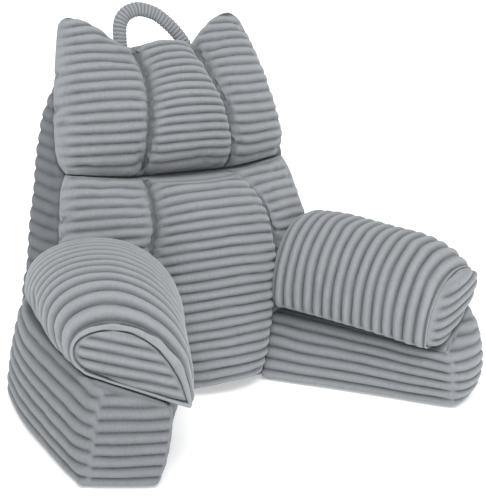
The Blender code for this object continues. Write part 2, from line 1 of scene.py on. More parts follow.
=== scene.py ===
"""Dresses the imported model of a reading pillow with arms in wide-ribbed grey plush.

Each cushion starts as a smooth form with the sizes of its solid. Its cloth is then swelled by a
short cloth simulation, and its ribs, channel seams and pinched folds are raised in the mesh.
Metres, +Z up, the reader faces -Y, +X is the right side of a viewer who looks at the front.
"""

import json
import logging
import math
from dataclasses import dataclass
from enum import Enum
from typing import Callable, NamedTuple, Sequence

import bmesh
import bpy
import numpy as np
from mathutils import Matrix, Vector, noise

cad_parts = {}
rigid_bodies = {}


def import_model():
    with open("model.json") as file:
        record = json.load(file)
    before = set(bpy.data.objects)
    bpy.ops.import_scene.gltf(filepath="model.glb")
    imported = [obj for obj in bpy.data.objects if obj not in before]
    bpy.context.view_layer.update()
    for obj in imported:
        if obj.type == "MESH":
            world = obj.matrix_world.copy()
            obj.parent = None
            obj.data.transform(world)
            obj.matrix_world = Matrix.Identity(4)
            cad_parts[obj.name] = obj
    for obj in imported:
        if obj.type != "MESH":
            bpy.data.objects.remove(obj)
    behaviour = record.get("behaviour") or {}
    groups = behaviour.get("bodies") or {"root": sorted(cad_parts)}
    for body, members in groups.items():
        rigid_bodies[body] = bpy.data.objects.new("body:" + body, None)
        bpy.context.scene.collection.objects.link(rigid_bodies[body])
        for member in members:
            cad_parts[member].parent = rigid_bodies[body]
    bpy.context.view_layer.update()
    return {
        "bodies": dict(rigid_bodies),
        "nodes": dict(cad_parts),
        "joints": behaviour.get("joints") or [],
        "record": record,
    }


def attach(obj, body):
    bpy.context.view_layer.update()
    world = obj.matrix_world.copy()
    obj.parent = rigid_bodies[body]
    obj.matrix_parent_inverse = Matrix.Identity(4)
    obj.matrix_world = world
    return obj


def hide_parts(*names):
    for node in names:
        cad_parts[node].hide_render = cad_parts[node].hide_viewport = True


log = logging.getLogger("reading_pillow")

Table = Sequence[tuple]
GAP = 0.0004                  # clearance between pieces that touch
SAME_PLACE = 0.00005          # points closer than this are one
RIB_PITCH = 0.0184            # one rib of the plush, measured along the cloth
RIB_RISE = 0.0062             # from a groove to the crown beside it
PAD_RIB_RISE = 0.0078         # the same on the arms' pads
RIB_SECTION = 2.0             # 2 makes a rib's section a parabola, more makes it blunter
RIB_FULLNESS = 0.8            # below 1 makes the crown fuller
RIB_SINK = 0.65               # how much of the rise lies below the smooth form
RIB_WANDER = 0.10             # how far a rib wanders from its line, in ribs
RIB_LUMPS = 0.22              # how much the height of a rib varies
GROOVE_SHADE_SHARPNESS = 2.2        # how closely the painted shade keeps to a groove
SEAM_SHADE_REACH = 0.004          # how far the painted shade in a seam's crease reaches, in metres
PUCKER = 0.10                 # how much a channel seam's depth varies from rib to rib
AT_SEAM = 0.0005              # points closer than this to a seam are sewn into it
FOLD_FADE = 0.75              # how much shallower a fold is at its end than at its start
FREE_CLOTH = 0.01             # cloth held no more than this is free to swell
SIM_FRAMES = 20


# ---------------------------------------------------------------- numbers along curves
def mix(a, b, share: float):
    """Return the value that lies the given share of the way from a to b."""
    return a + (b - a) * share


def dome(share: float, power: float) -> float:
    """Rise from 0 at share -1 through 1 at the middle to 0 at share 1."""
    return max(0.0, 1.0 - abs(share) ** power) ** (1.0 / power)


def read(table: Table, key: float, column: int) -> float:
    """Read a column of a table at a key in its first column, on a smooth curve.

    Args:
        table: Rows whose first values only rise or only fall.
        key: Where to read.
        column: Which value of the rows to read.

    Returns:
        The value between the two nearest rows, with no corner at a row.
    """
    rows = table if table[0][0] < table[-1][0] else table[::-1]
    key = min(max(key, rows[0][0]), rows[-1][0])
    index = max(i for i in range(len(rows) - 1) if rows[i][0] <= key)
    low, high = rows[index], rows[index + 1]
    before = rows[max(index - 1, 0)]
    after = rows[min(index + 2, len(rows) - 1)]
    width = high[0] - low[0]
    share = (key - low[0]) / width
    start = (high[column] - before[column]) / (high[0] - before[0]) * width
    end = (after[column] - low[column]) / (after[0] - low[0]) * width
    cube, square = share ** 3, share ** 2
    return (
        (2 * cube - 3 * square + 1) * low[column]
        + (cube - 2 * square + share) * start
        + (3 * square - 2 * cube) * high[column]
        + (cube - square) * end
    )


def ripple(x: float, y: float, z: float, size: float) -> float:
    """Return a smooth unevenness from -1 to 1 whose bumps are about size metres apart."""
    return noise.noise(Vector((x, y, z)) / size)


# ---------------------------------------------------------------- forms made of rows of points
class Knot(NamedTuple):
    """One point of a form, and what its cloth does there."""

    point: Vector
    rib: float               # how many ribs up or along the cloth it lies
    relief: float = 1.0      # how much of the ribs' full rise it has
    held: float = 0.0        # 1 where a seam holds the cloth still
    seam: float = 0.1        # metres to the nearest channel seam


class Fold(NamedTuple):
    """A pinched fold or soft trough that runs from start to end on the cloth."""

    start: Vector
    end: Vector
    width: float
    depth: float


KNOT_LAYERS = ("rib", "relief", "held", "seam")


def add_knots(bm: bmesh.types.BMesh, knots: Sequence[Knot]) -> list:
    """Add one row of vertices that carry their knots' values in float layers."""
    layers = [bm.verts.layers.float[name] for name in KNOT_LAYERS]
    row = []
    for knot in knots:
        vertex = bm.verts.new(knot.point)
        for layer, value in zip(layers, knot[1:]):
            vertex[layer] = value
        row.append(vertex)
    return row


def new_form() -> bmesh.types.BMesh:
    """Return an empty bmesh with a float layer for each value of a knot."""
    bm = bmesh.new()
    for name in KNOT_LAYERS:
        bm.verts.layers.float.new(name)
    return bm


def join_rows(bm: bmesh.types.BMesh, rows: Sequence[list], closed: bool) -> None:
    """Join neighbouring rows of vertices with quads, round and round where closed."""
    for low, high in zip(rows, rows[1:]):
        count = len(low)
        for i in range(count if closed else count - 1):
            j = (i + 1) % count
            bm.faces.new((low[i], low[j], high[j], high[i]))


def finish_form(name: str, bm: bmesh.types.BMesh) -> bpy.types.Object:
    """Turn a bmesh into a named object whose faces point outwards.

    Args:
        name: The piece's name.
        bm: A closed mesh, which is used up.

    Returns:
        The new object, linked to the scene.
    """
    bmesh.ops.remove_doubles(bm, verts=bm.verts, dist=SAME_PLACE)
    bmesh.ops.recalc_face_normals(bm, faces=bm.faces)
    if bm.calc_volume(signed=True) < 0:
        bmesh.ops.reverse_faces(bm, faces=bm.faces)
    mesh = bpy.data.meshes.new(name)
    bm.to_mesh(mesh)
    bm.free()
    piece = bpy.data.objects.new(name, mesh)
    bpy.context.collection.objects.link(piece)
    return piece


def apply_modifier(piece: bpy.types.Object, modifier: bpy.types.Modifier) -> None:
    """Apply one modifier to a piece's mesh."""
    bpy.ops.object.select_all(action="DESELECT")
    piece.select_set(True)
    bpy.context.view_layer.objects.active = piece
    bpy.ops.object.modifier_apply(modifier=modifier.name)
    piece.select_set(False)


def refine(piece: bpy.types.Object, levels: int = 1) -> None:
    """Round a piece's mesh off with a subdivision surface."""
    modifier = piece.modifiers.new("rounding", "SUBSURF")
    modifier.levels = levels
    modifier.render_levels = levels
    apply_modifier(piece, modifier)


def cut_away(piece: bpy.types.Object, cutter: bpy.types.Object) -> None:
    """Take the cutter's space away from a piece and remove the cutter."""
    modifier = piece.modifiers.new("cut", "BOOLEAN")
    modifier.operation = "DIFFERENCE"
    modifier.solver = "EXACT"
    modifier.object = cutter
    apply_modifier(piece, modifier)
    bpy.data.objects.remove(cutter, do_unlink=True)


def coordinates(mesh: bpy.types.Mesh, what: str = "co") -> np.ndarray:
    """Return the mesh's points, or with what="normal" the directions of their normals."""
    values = np.empty(len(mesh.vertices) * 3)
    mesh.vertices.foreach_get(what, values)
    return values.reshape(-1, 3)


def layer(mesh: bpy.types.Mesh, name: str) -> np.ndarray:
    """Return one float layer of a mesh's points."""
    values = np.empty(len(mesh.vertices))
    mesh.attributes[name].data.foreach_get("value", values)
    return values


def move_points(mesh: bpy.types.Mesh, points: np.ndarray) -> None:
    """Put a mesh's points at new places."""
    mesh.vertices.foreach_set("co", points.ravel())
    mesh.update()


def swell_cloth(piece: bpy.types.Object, pressure: float, most: float, slack: float) -> None:
    """Blow a piece's cloth up between its held seams with Blender's cloth simulation.

    Args:
        piece: A closed mesh with the knots' layers.
        pressure: The filling's pressure.
        most: How far a point may move, in metres.
        slack: How much larger the cloth is than the form, as a share.
    """
    mesh = piece.data
    before = coordinates(mesh)
    group = piece.vertex_groups.new(name="held")
    for index, value in enumerate(layer(mesh, "held")):
        if value > FREE_CLOTH:
            group.add([index], min(1.0, float(value)), "REPLACE")
    cloth = piece.modifiers.new("swell", "CLOTH")
    settings = cloth.settings
    settings.vertex_group_mass = group.name
    settings.use_pressure = True
    settings.uniform_pressure_force = pressure
    settings.effector_weights.gravity = 0.0
    settings.shrink_min = -slack
    settings.quality = 4
    cloth.point_cache.frame_end = SIM_FRAMES
    for frame in range(1, SIM_FRAMES + 1):
        bpy.context.scene.frame_set(frame)
    apply_modifier(piece, cloth)
    bpy.context.scene.frame_set(1)
    piece.vertex_groups.clear()
    moved = coordinates(mesh) - before
    length = np.linalg.norm(moved, axis=1, keepdims=True)
    limit = np.minimum(1.0, most / np.maximum(length, 1e-9))
    move_points(mesh, before + moved * limit)


def press_folds(piece: bpy.types.Object, folds: Sequence[Fold]) -> None:
    """Press soft troughs into a piece's cloth, deepest at their starts.

    Args:
        piece: The piece to work on.
        folds: The troughs, whose start and end lie near its surface.
    """
    mesh = piece.data
    points = coordinates(mesh)
    normals = coordinates(mesh, "normal")
    push = np.zeros(len(points))
    for fold in folds:
        way = np.array(fold.end - fold.start)
        length = float(np.linalg.norm(way))
        share = np.clip((points - np.array(fold.start)) @ way / length ** 2, 0.0, 1.0)
        nearest = np.array(fold.start) + share[:, None] * way
        away = np.linalg.norm(points - nearest, axis=1)
        push += fold.depth * np.exp(-(away / fold.width) ** 2) * (1.0 - FOLD_FADE * share)
    move_points(mesh, points - normals * push[:, None])


def sew_channels(piece: bpy.types.Object, depth: float, width: float) -> None:
    """Draw a cushion's cloth in along its channel seams, deeper and shallower by turns.

    Args:
        piece: A piece whose seam layer holds the distance to the nearest seam.
        depth: How deep the seam lies.
        width: How far the cloth is drawn in on each side.
    """
    mesh = piece.data
    seam = layer(mesh, "seam")
    rib = layer(mesh, "rib")
    pull = depth * np.exp(-seam / width) * (1.0 + PUCKER * np.cos(rib * math.tau * 0.5))
    move_points(mesh, coordinates(mesh) - coordinates(mesh, "normal") * pull[:, None])


def raise_ribs(piece: bpy.types.Object, rise: float = RIB_RISE) -> None:
    """Raise the plush's ribs along the normals; paint shade in their grooves and seams into layer
    groove_shade.

    Args:
        piece: A piece with the knots' layers.
        rise: A rib's full height.
    """
    mesh = piece.data
    points = coordinates(mesh)
    wander = np.array([ripple(*p, 0.055) for p in points])
    lumps = np.array([ripple(*p, 0.024) for p in points])
    rib = layer(mesh, "rib") + RIB_WANDER * wander
    relief = layer(mesh, "relief")
    across = np.abs(2.0 * (rib - np.floor(rib)) - 1.0)
    crown = (1.0 - across ** RIB_SECTION) ** RIB_FULLNESS
    height = relief * rise * (crown - RIB_SINK) * (1.0 + RIB_LUMPS * lumps)
    move_points(mesh, points + coordinates(mesh, "normal") * height[:, None])
    # Painted shade: this layer darkens the plush in the ribs' grooves and in the creases along seams.
    groove_shade = mesh.attributes.new("groove_shade", "FLOAT", "POINT")
    seam_shade = np.exp(-layer(mesh, "seam") / SEAM_SHADE_REACH)
    shade = np.clip(relief * across ** GROOVE_SHADE_SHARPNESS + seam_shade, 0.0, 1.0)
    groove_shade.data.foreach_set("value", shade)
    mesh.shade_smooth()


# ---------------------------------------------------------------- finishes
@dataclass(frozen=True)
class Plush:
    """A short grey pile: its tone, a painted groove shade, how its nap varies, and its grazing sheen."""

    name: str
    tone: tuple = (0.295, 0.312, 0.328)
    # painted shade for the grooves and seam creases
    groove_shade_tone: tuple = (0.110, 0.117, 0.125)
    nap: float = 0.16
    sheen: float = 0.45
    roughness: float = 0.92
    sheen_tint: tuple = (0.92, 0.96, 1.0, 1.0)
    pile_size: float = 900.0
    pile_depth: float = 0.0011
    pile_contrast: float = 0.34
    strand_size: float = 260.0
    strand_contrast: float = 0.26
    patch_size: float = 22.0

    def material(self) -> bpy.types.Material:
        """Return the finish as a node material, made once."""
        if self.name in bpy.data.materials:
            return bpy.data.materials[self.name]
        material = bpy.data.materials.new(self.name)
        material.use_nodes = True
        nodes, links = material.node_tree.nodes, material.node_tree.links
        surface = nodes["Principled BSDF"]
        surface.inputs["Roughness"].default_value = self.roughness
        surface.inputs["Specular IOR Level"].default_value = 0.15
        surface.inputs["Sheen Weight"].default_value = self.sheen
        surface.inputs["Sheen Roughness"].default_value = 0.45
        surface.inputs["Sheen Tint"].default_value = self.sheen_tint
        place = nodes.new("ShaderNodeTexCoord")

        def speckle(scale: float, detail: float, stretch: tuple = (1.0, 1.0, 1.0)):
            """Return a noise texture's output at a scale, stretched along the axes."""
            mapping = nodes.new("ShaderNodeMapping")
            mapping.inputs["Scale"].default_value = stretch
            links.new(place.outputs["Object"], mapping.inputs["Vector"])
            texture = nodes.new("ShaderNodeTexNoise")
            texture.inputs["Scale"].default_value = scale
            texture.inputs["Detail"].default_value = detail
            links.new(mapping.outputs["Vector"], texture.inputs["Vector"])
            return texture.outputs["Fac"]

        def calculate(operation: str, first, second):
            """Return the output of a maths node whose inputs are sockets or numbers."""
            node = nodes.new("ShaderNodeMath")
            node.operation = operation
            for socket, value in zip(node.inputs, (first, second)):
                if isinstance(value, (int, float)):
                    socket.default_value = value
                else:
                    links.new(value, socket)
            return node.outputs[0]

        groove_shade = nodes.new("ShaderNodeAttribute")
        groove_shade.attribute_name = "groove_shade"
        pile = speckle(self.pile_size, 3.0)
        patches = speckle(self.patch_size, 3.0)
        strands = speckle(self.strand_size, 2.0, (1.0, 1.0, 0.25))
        bright = calculate("MULTIPLY", calculate("SUBTRACT", patches, 0.5), self.nap)
        fine = calculate("MULTIPLY", calculate("SUBTRACT", pile, 0.5), self.pile_contrast)
        grain = calculate("MULTIPLY", calculate("SUBTRACT", strands, 0.5), self.strand_contrast)
        value = calculate("ADD", calculate("ADD", calculate("ADD", bright, fine), grain), 1.0)
        # Painted shade: the darker tone is mixed in where the layer marks grooves and seam creases.
        colour = nodes.new("ShaderNodeMix")
        colour.data_type = "RGBA"
        colour.inputs["A"].default_value = (*self.tone, 1.0)
        colour.inputs["B"].default_value = (*self.groove_shade_tone, 1.0)
        links.new(groove_shade.outputs["Fac"], colour.inputs["Factor"])
        shaded = nodes.new("ShaderNodeHueSaturation")
        links.new(colour.outputs["Result"], shaded.inputs["Color"])
        links.new(value, shaded.inputs["Value"])
        links.new(shaded.outputs["Color"], surface.inputs["Base Color"])
        bump = nodes.new("ShaderNodeBump")
        bump.inputs["Strength"].default_value = 0.7
        bump.inputs["Distance"].default_value = self.pile_depth
        links.new(calculate("ADD", pile, strands), bump.inputs["Height"])
        links.new(bump.outputs["Normal"], surface.inputs["Normal"])
        return material


class Finish(Enum):
    """The pillow's plushes by where each is sewn; some are lighter or darker copies, painted light or
    shade.
    """

    CUSHION = Plush("cushion_pile")
    # A darker copy of the plush, as painted shade on the wedge's side panels.
    GUSSET = Plush("gusset_shaded_pile", tone=(0.165, 0.176, 0.189), groove_shade_tone=(0.050, 0.054, 0.060), sheen=0.15)
    # A darker copy of the plush, as painted shade on the left arm's base.
    LEFT_BASE = Plush("left_base_shaded_pile", tone=(0.240, 0.256, 0.270), sheen=0.25)
    RIGHT_BASE = Plush("right_base_pile", tone=(0.290, 0.307, 0.323))
    # A lighter copy of the plush, as painted light on the pads' tops, with darker painted shade in its
    # grooves.
    PAD = Plush("pad_lit_pile", tone=(0.315, 0.332, 0.348), groove_shade_tone=(0.085, 0.092, 0.100))
    HANDLE = Plush("handle_pile", nap=0.10)


def dress(piece: bpy.types.Object, finish: Finish, node: str) -> None:
    """Give a finished piece its plush and its node's name, hide that node, and attach the piece to the
    root.

    Args:
        piece: The finished padded piece.
        finish: Its plush.
        node: The CAD node that it stands for.
    """
    piece.name = node + "_plush"
    piece.data.materials.clear()
    piece.data.materials.append(finish.value.material())
    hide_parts(node)
    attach(piece, "root")
    log.info("%s: %d points", piece.name, len(piece.data.vertices))


# ---------------------------------------------------------------- the back
@dataclass(frozen=True)
class BackPlane:
    """The sloping plane to which both back cushions are sewn."""

    line_y: float = 0.025
    lean: float = 0.344

    def y_at(self, height: float) -> float:
        """Return the plane's Y at a height."""
        return self.line_y + self.lean * height

    def backwards(self) -> Vector:
        """Return the direction straight out of the plane, away from the reader."""
        return Vector((0.0, 1.0, -self.lean)).normalized()

    def point(self, x: float, height: float, depth: float) -> Vector:
        """Return the point that stands a depth in front of the plane, square to it."""
        return Vector((x, self.y_at(height), height)) - self.backwards() * depth


PLANE = BackPlane()
JUNCTION_Z = 0.3780
JUNCTION_RISE = 0.0150
JUNCTION_SEAM_X = 0.092       # half the centre channel's width at the junction
JUNCTION_SIDE_WIDTH = 0.135   # a side channel's width there
SIDE_SHARES = (0.0, 0.025, 0.07, 0.14, 0.24, 0.36, 0.48, 0.60, 0.71, 0.81, 0.89, 0.95, 0.985, 1.0)
CENTRE_SHARES = (0.0, 0.016, 0.045, 0.09, 0.16, 0.25, 0.35, 0.45)


def junction(channel: int, share: float) -> float:
    """Return the height of the sewn line between the two cushions at a column."""
    return JUNCTION_Z + (JUNCTION_RISE * share ** 1.5 if channel else 0.0)


@dataclass
class BackCushion:
    """A cushion of the back with two sewn channel seams.

    outline rows hold a height, the half width and the seam's distance from the middle. swell
    rows hold a share of the cushion's height and how far its seams stand out.
    """

    name: str
    slot: str
    outline: Table
    swell: Table
    centre_ribs: float
    side_pitch: float
    end_power: float
    side_power: float
    side_root: float
    junction_side: int           # 1 above the junction and -1 below it
    centre_swell: float = 0.016
    stand_off: float = 0.010     # how far the whole cushion stands out beyond its swell rows
    unevenness: float = 0.0015   # how far the filling's lumps lift the cloth
    seam_relief: float = 0.05    # the ribs' relief at a seam, and how far from it they are full
    seam_reach: float = 0.020
    edge_relief: float = 0.1     # the same at the outer edges
    edge_reach: float = 0.030
    end_relief: float = 0.3      # the same at the top and bottom
    end_growth: float = 24.0
    rows: int = 32
    end_rises: tuple = (0.004, 0.012)
    pinches: Table = ()          # x and height of each fold's start and end, its width and depth
    right_draw: float = 0.0      # how far the right edge is drawn in

    def edges(self, channel: int, share: float) -> tuple[float, float]:
        """Return the heights of the cushion's bottom and top edge at a column."""
        raise NotImplementedError

    def columns(self) -> list[tuple[int, float]]:
        """Return the columns as (channel, share) pairs from left to right.

        Returns:
            Channel -1, 0 or 1, and a share that runs from the seam to the outer edge in a side
            channel and from the left seam to the right one in the centre.
        """
        left = [(-1, share) for share in reversed(SIDE_SHARES[1:])]
        centre = [(0, share) for share in CENTRE_SHARES]
        centre += [(0, 0.5)] + [(0, 1.0 - share) for share in reversed(CENTRE_SHARES)]
        right = [(1, share) for share in SIDE_SHARES[1:]]
        return left + centre + right

    def depth(self, x: float, height: float, rise: float) -> float:
        """Return how far the smooth form stands proud at a place."""
        half_width = read(self.outline, height, 1)
        seam = read(self.outline, height, 2)
        edge = max(0.0, 1.0 - abs(x / half_width) ** self.side_power) ** self.side_root
        edge_at_seam = (1.0 - (seam / half_width) ** self.side_power) ** self.side_root
        centre = self.centre_swell * max(0.0, 1.0 - (x / seam) ** 2)
        return (read(self.swell, rise, 1) + self.stand_off) * edge / edge_at_seam + centre

    def knot(self, channel: int, share: float, rise: float) -> Knot:
        """Return the knot of the front at a column and a share of its height.

        Args:
            channel: -1, 0 or 1.
            share: The column's share across its channel.
            rise: 0 at the column's bottom edge and 1 at its top edge.
        """
        bottom, top = self.edges(channel, share)
        height = mix(bottom, top, rise)
        half_width = read(self.outline, height, 1)
        seam = read(self.outline, height, 2)
        if channel:
            x = channel * mix(seam, half_width - self.right_draw * max(channel, 0), share)
            rib = (height - self.rise_of_seams(bottom, top, rise)) / self.side_pitch
        else:
            x = mix(-seam, seam, share)
            rib = self.centre_ribs * rise
        fall = dome(2 * rise - 1, self.end_power)
        at_edge = channel != 0 and share > 0.999
        depth = 0.0 if at_edge else self.depth(x, height, rise) * fall
        depth += self.unevenness * fall * ripple(x, 0.3, height, 0.06)
        ends = at_edge or rise in (0.0, 1.0)
        away = abs(abs(x) - seam)
        held = 1.0 if ends or away < AT_SEAM else 0.0
        from_edge = (1.0 - share) * (half_width - seam) if channel else half_width
        from_end = min(rise, 1.0 - rise)
        relief = min(
            1.0,
            self.seam_relief + away / self.seam_reach,
            self.edge_relief + from_edge / self.edge_reach,
            self.end_relief + self.end_growth * from_end,
        )
        return Knot(PLANE.point(x, height, depth), rib, relief, held, away)

    def rise_of_seams(self, bottom: float, top: float, rise: float) -> float:
        """Return how far a side channel's ribs are lifted at a place by the curve of the junction."""
        raise NotImplementedError

    def rear_depth(self, channel: int, share: float, height: float, top: float) -> float:
        """Return how far the rear face swells at a place."""
        return 0.0

    def form(self) -> bpy.types.Object:
        """Return the smooth closed form, its front and rear sewn at the edges."""
        bm = new_form()
        front, rear = [], []
        inner = [step / self.rows for step in range(1, self.rows)]
        rises = [0.0, *self.end_rises, *inner, *(1.0 - rise for rise in reversed(self.end_rises)), 1.0]
        for rise in rises:
            knots = [self.knot(channel, share, rise) for channel, share in self.columns()]
            front.append(add_knots(bm, knots))
            backs = []
            for (channel, share), knot in zip(self.columns(), knots):
                bottom, top = self.edges(channel, share)
                height = mix(bottom, top, rise)
                swell = self.rear_depth(channel, share, height, top)
                place = PLANE.point(knot.point.x, height, -swell)
                backs.append(Knot(place, knot.rib, min(1.0, swell / 0.004), 1.0, 0.1))
            rear.append(add_knots(bm, backs))
        join_rows(bm, front, closed=False)
        join_rows(bm, rear, closed=False)
        return finish_form(self.name, bm)

    def folds(self) -> list[Fold]:
        """Return the pinched folds of this cushion."""
        marks = []
        bottom, top = self.edges(0, 0.5)
        for start_x, start_height, end_x, end_height, width, depth in self.pinches:
            ends = []
            for x, height in ((start_x, start_height), (end_x, end_height)):
                rise = (height - bottom) / (top - bottom)
                ends.append(PLANE.point(x, height, self.depth(x, height, rise)))
            marks.append(Fold(*ends, width, depth))
        return marks

    def hold_at_junction(self, piece: bpy.types.Object) -> None:
        """Press the cushion flat where it meets the other one."""
        points = coordinates(piece.data)
        share = np.clip((np.abs(points[:, 0]) - JUNCTION_SEAM_X) / JUNCTION_SIDE_WIDTH, 0.0, 1.0)
        line = JUNCTION_Z + JUNCTION_RISE * share ** 1.5 + self.junction_side * GAP
        press = np.maximum if self.junction_side > 0 else np.minimum
        points[:, 2] = press(points[:, 2], line)
        move_points(piece.data, points)

    def build(self, cutters: Sequence[Callable[[], bpy.types.Object]]) -> bpy.types.Object:
        """Make the cushion and take away the spaces where other pieces are sewn into it.

        Args:
            cutters: Makers of the spaces to take away.

        Returns:
            The finished piece.
        """
        piece = self.form()
        refine(piece)
        swell_cloth(piece, pressure=2.5, most=0.006, slack=0.03)
        refine(piece)
        sew_channels(piece, depth=0.012, width=0.0085)
        press_folds(piece, self.folds())
        raise_ribs(piece)
        self.hold_at_junction(piece)
        for make in cutters:
            cut_away(piece, make())
        dress(piece, Finish.CUSHION, self.name)
        return piece


@dataclass
class HeadSection(BackCushion):
    """The upper cushion, whose side channels rise to two rounded ears."""

    left_ear: Table = (
        (0.00, 0.6030),
        (0.20, 0.6130),
        (0.45, 0.6360),
        (0.70, 0.6530),
        (0.86, 0.6600),
        (0.95, 0.6595),
        (1.00, 0.6490),
    )
    right_ear: Table = (
        (0.00, 0.6040),
        (0.20, 0.6270),
        (0.45, 0.6480),
        (0.68, 0.6610),
        (0.84, 0.6640),
        (0.94, 0.6580),
        (1.00, 0.6440),
    )
    centre_top: float = 0.6110
    ear_rear: float = 0.011
    ear_free: float = 0.590

    def edges(self, channel: int, share: float) -> tuple[float, float]:
        """Return the heights of the cushion's bottom and top edge at a column."""
        bottom = junction(channel, share) + GAP
        if channel:
            return bottom, read(self.left_ear if channel < 0 else self.right_ear, share, 1)
        start = mix(self.left_ear[0][1], self.right_ear[0][1], share)
        return bottom, mix(start, self.centre_top, dome(2 * share - 1, 2.0))

    def rise_of_seams(self, bottom: float, top: float, rise: float) -> float:
        """Return how far a side channel's ribs are lifted at a place by the curve of the junction."""
        return mix(bottom - JUNCTION_Z, 0.0, rise)

    def rear_depth(self, channel: int, share: float, height: float, top: float) -> float:
        """Return how far an ear swells rearwards above the wedge."""
        outwards = (share - 0.25) / 0.75
        if channel == 0 or height < self.ear_free or outwards < 0:
            return 0.0
        rise = (height - self.ear_free) / (top - self.ear_free)
        return self.ear_rear * dome(2 * outwards - 1, 2.0) * dome(2 * rise - 1, 2.0)


@dataclass
class LumbarSection(BackCushion):
    """The lower cushion, fullest at two thirds of its height and drawn in at the floor."""

    def edges(self, channel: int, share: float) -> tuple[float, float]:
        """Return the heights of the cushion's bottom and top edge at a column."""
        return GAP, junction(channel, share) - GAP

    def rise_of_seams(self, bottom: float, top: float, rise: float) -> float:
        """Return how far a side channel's ribs are lifted at a place by the curve of the junction."""
        return mix(0.0, top - JUNCTION_Z, rise)


HEAD = HeadSection(
    name="head_section",
    slot="ribbed_plush",
    outline=(
        (0.378, 0.222, 0.092),
        (0.393, 0.230, 0.092),
        (0.410, 0.2410, 0.091),
        (0.450, 0.2435, 0.086),
        (0.500, 0.2355, 0.077),
        (0.546, 0.2265, 0.068),
        (0.600, 0.2135, 0.064),
        (0.640, 0.2030, 0.058),
        (0.662, 0.1940, 0.055),
    ),
    swell=(
        (0.00, 0.018),
        (0.12, 0.045),
        (0.28, 0.059),
        (0.42, 0.063),
        (0.55, 0.060),
        (0.75, 0.043),
        (0.88, 0.022),
        (1.00, 0.006),
    ),
    centre_ribs=16.0,
    side_pitch=0.0178,
    end_power=11.0,
    side_power=3.0,
    side_root=0.7,
    junction_side=1,
    right_draw=0.014,
    pinches=(
        (-0.238, 0.502, -0.185, 0.498, 0.006, 0.006),
        (-0.236, 0.474, -0.196, 0.482, 0.005, 0.005),
        (-0.224, 0.560, -0.190, 0.556, 0.006, 0.005),
        (-0.098, 0.392, -0.118, 0.424, 0.007, 0.006),
        (0.096, 0.402, 0.122, 0.436, 0.007, 0.006),
        (0.222, 0.452, 0.180, 0.456, 0.006, 0.006),
        (0.212, 0.520, 0.176, 0.516, 0.006, 0.005),
        (0.026, 0.384, 0.030, 0.408, 0.008, 0.004),
    ),
)
LUMBAR = LumbarSection(
    name="lumbar_section",
    slot="ribbed_plush",
    outline=(
        (0.000, 0.170, 0.092),
        (0.050, 0.200, 0.104),
        (0.100, 0.230, 0.118),
        (0.150, 0.252, 0.130),
        (0.200, 0.260, 0.137),
        (0.235, 0.267, 0.133),
        (0.273, 0.266, 0.123),
        (0.316, 0.258, 0.113),
        (0.342, 0.252, 0.105),
        (0.369, 0.245, 0.094),
        (0.393, 0.232, 0.092),
    ),
    swell=(
        (0.00, 0.018),
        (0.06, 0.032),
        (0.15, 0.042),
        (0.30, 0.052),
        (0.50, 0.064),
        (0.62, 0.075),
        (0.72, 0.083),
        (0.80, 0.079),
        (0.88, 0.063),
        (0.96, 0.038),
        (1.00, 0.022),
    ),
    centre_ribs=23.0,
    side_pitch=0.0178,
    end_power=15.0,
    side_power=1.6,
    side_root=0.95,
    junction_side=-1,
    rows=46,
    pinches=(
        (-0.256, 0.318, -0.212, 0.322, 0.006, 0.006),
        (-0.262, 0.290, -0.220, 0.284, 0.006, 0.005),
        (-0.095, 0.370, -0.112, 0.346, 0.007, 0.006),
        (0.098, 0.368, 0.118, 0.338, 0.007, 0.006),
        (0.040, 0.374, 0.046, 0.346, 0.009, 0.004),
        (0.240, 0.350, 0.206, 0.344, 0.006, 0.006),
        (-0.128, 0.236, -0.104, 0.214, 0.006, 0.004),
    ),
)


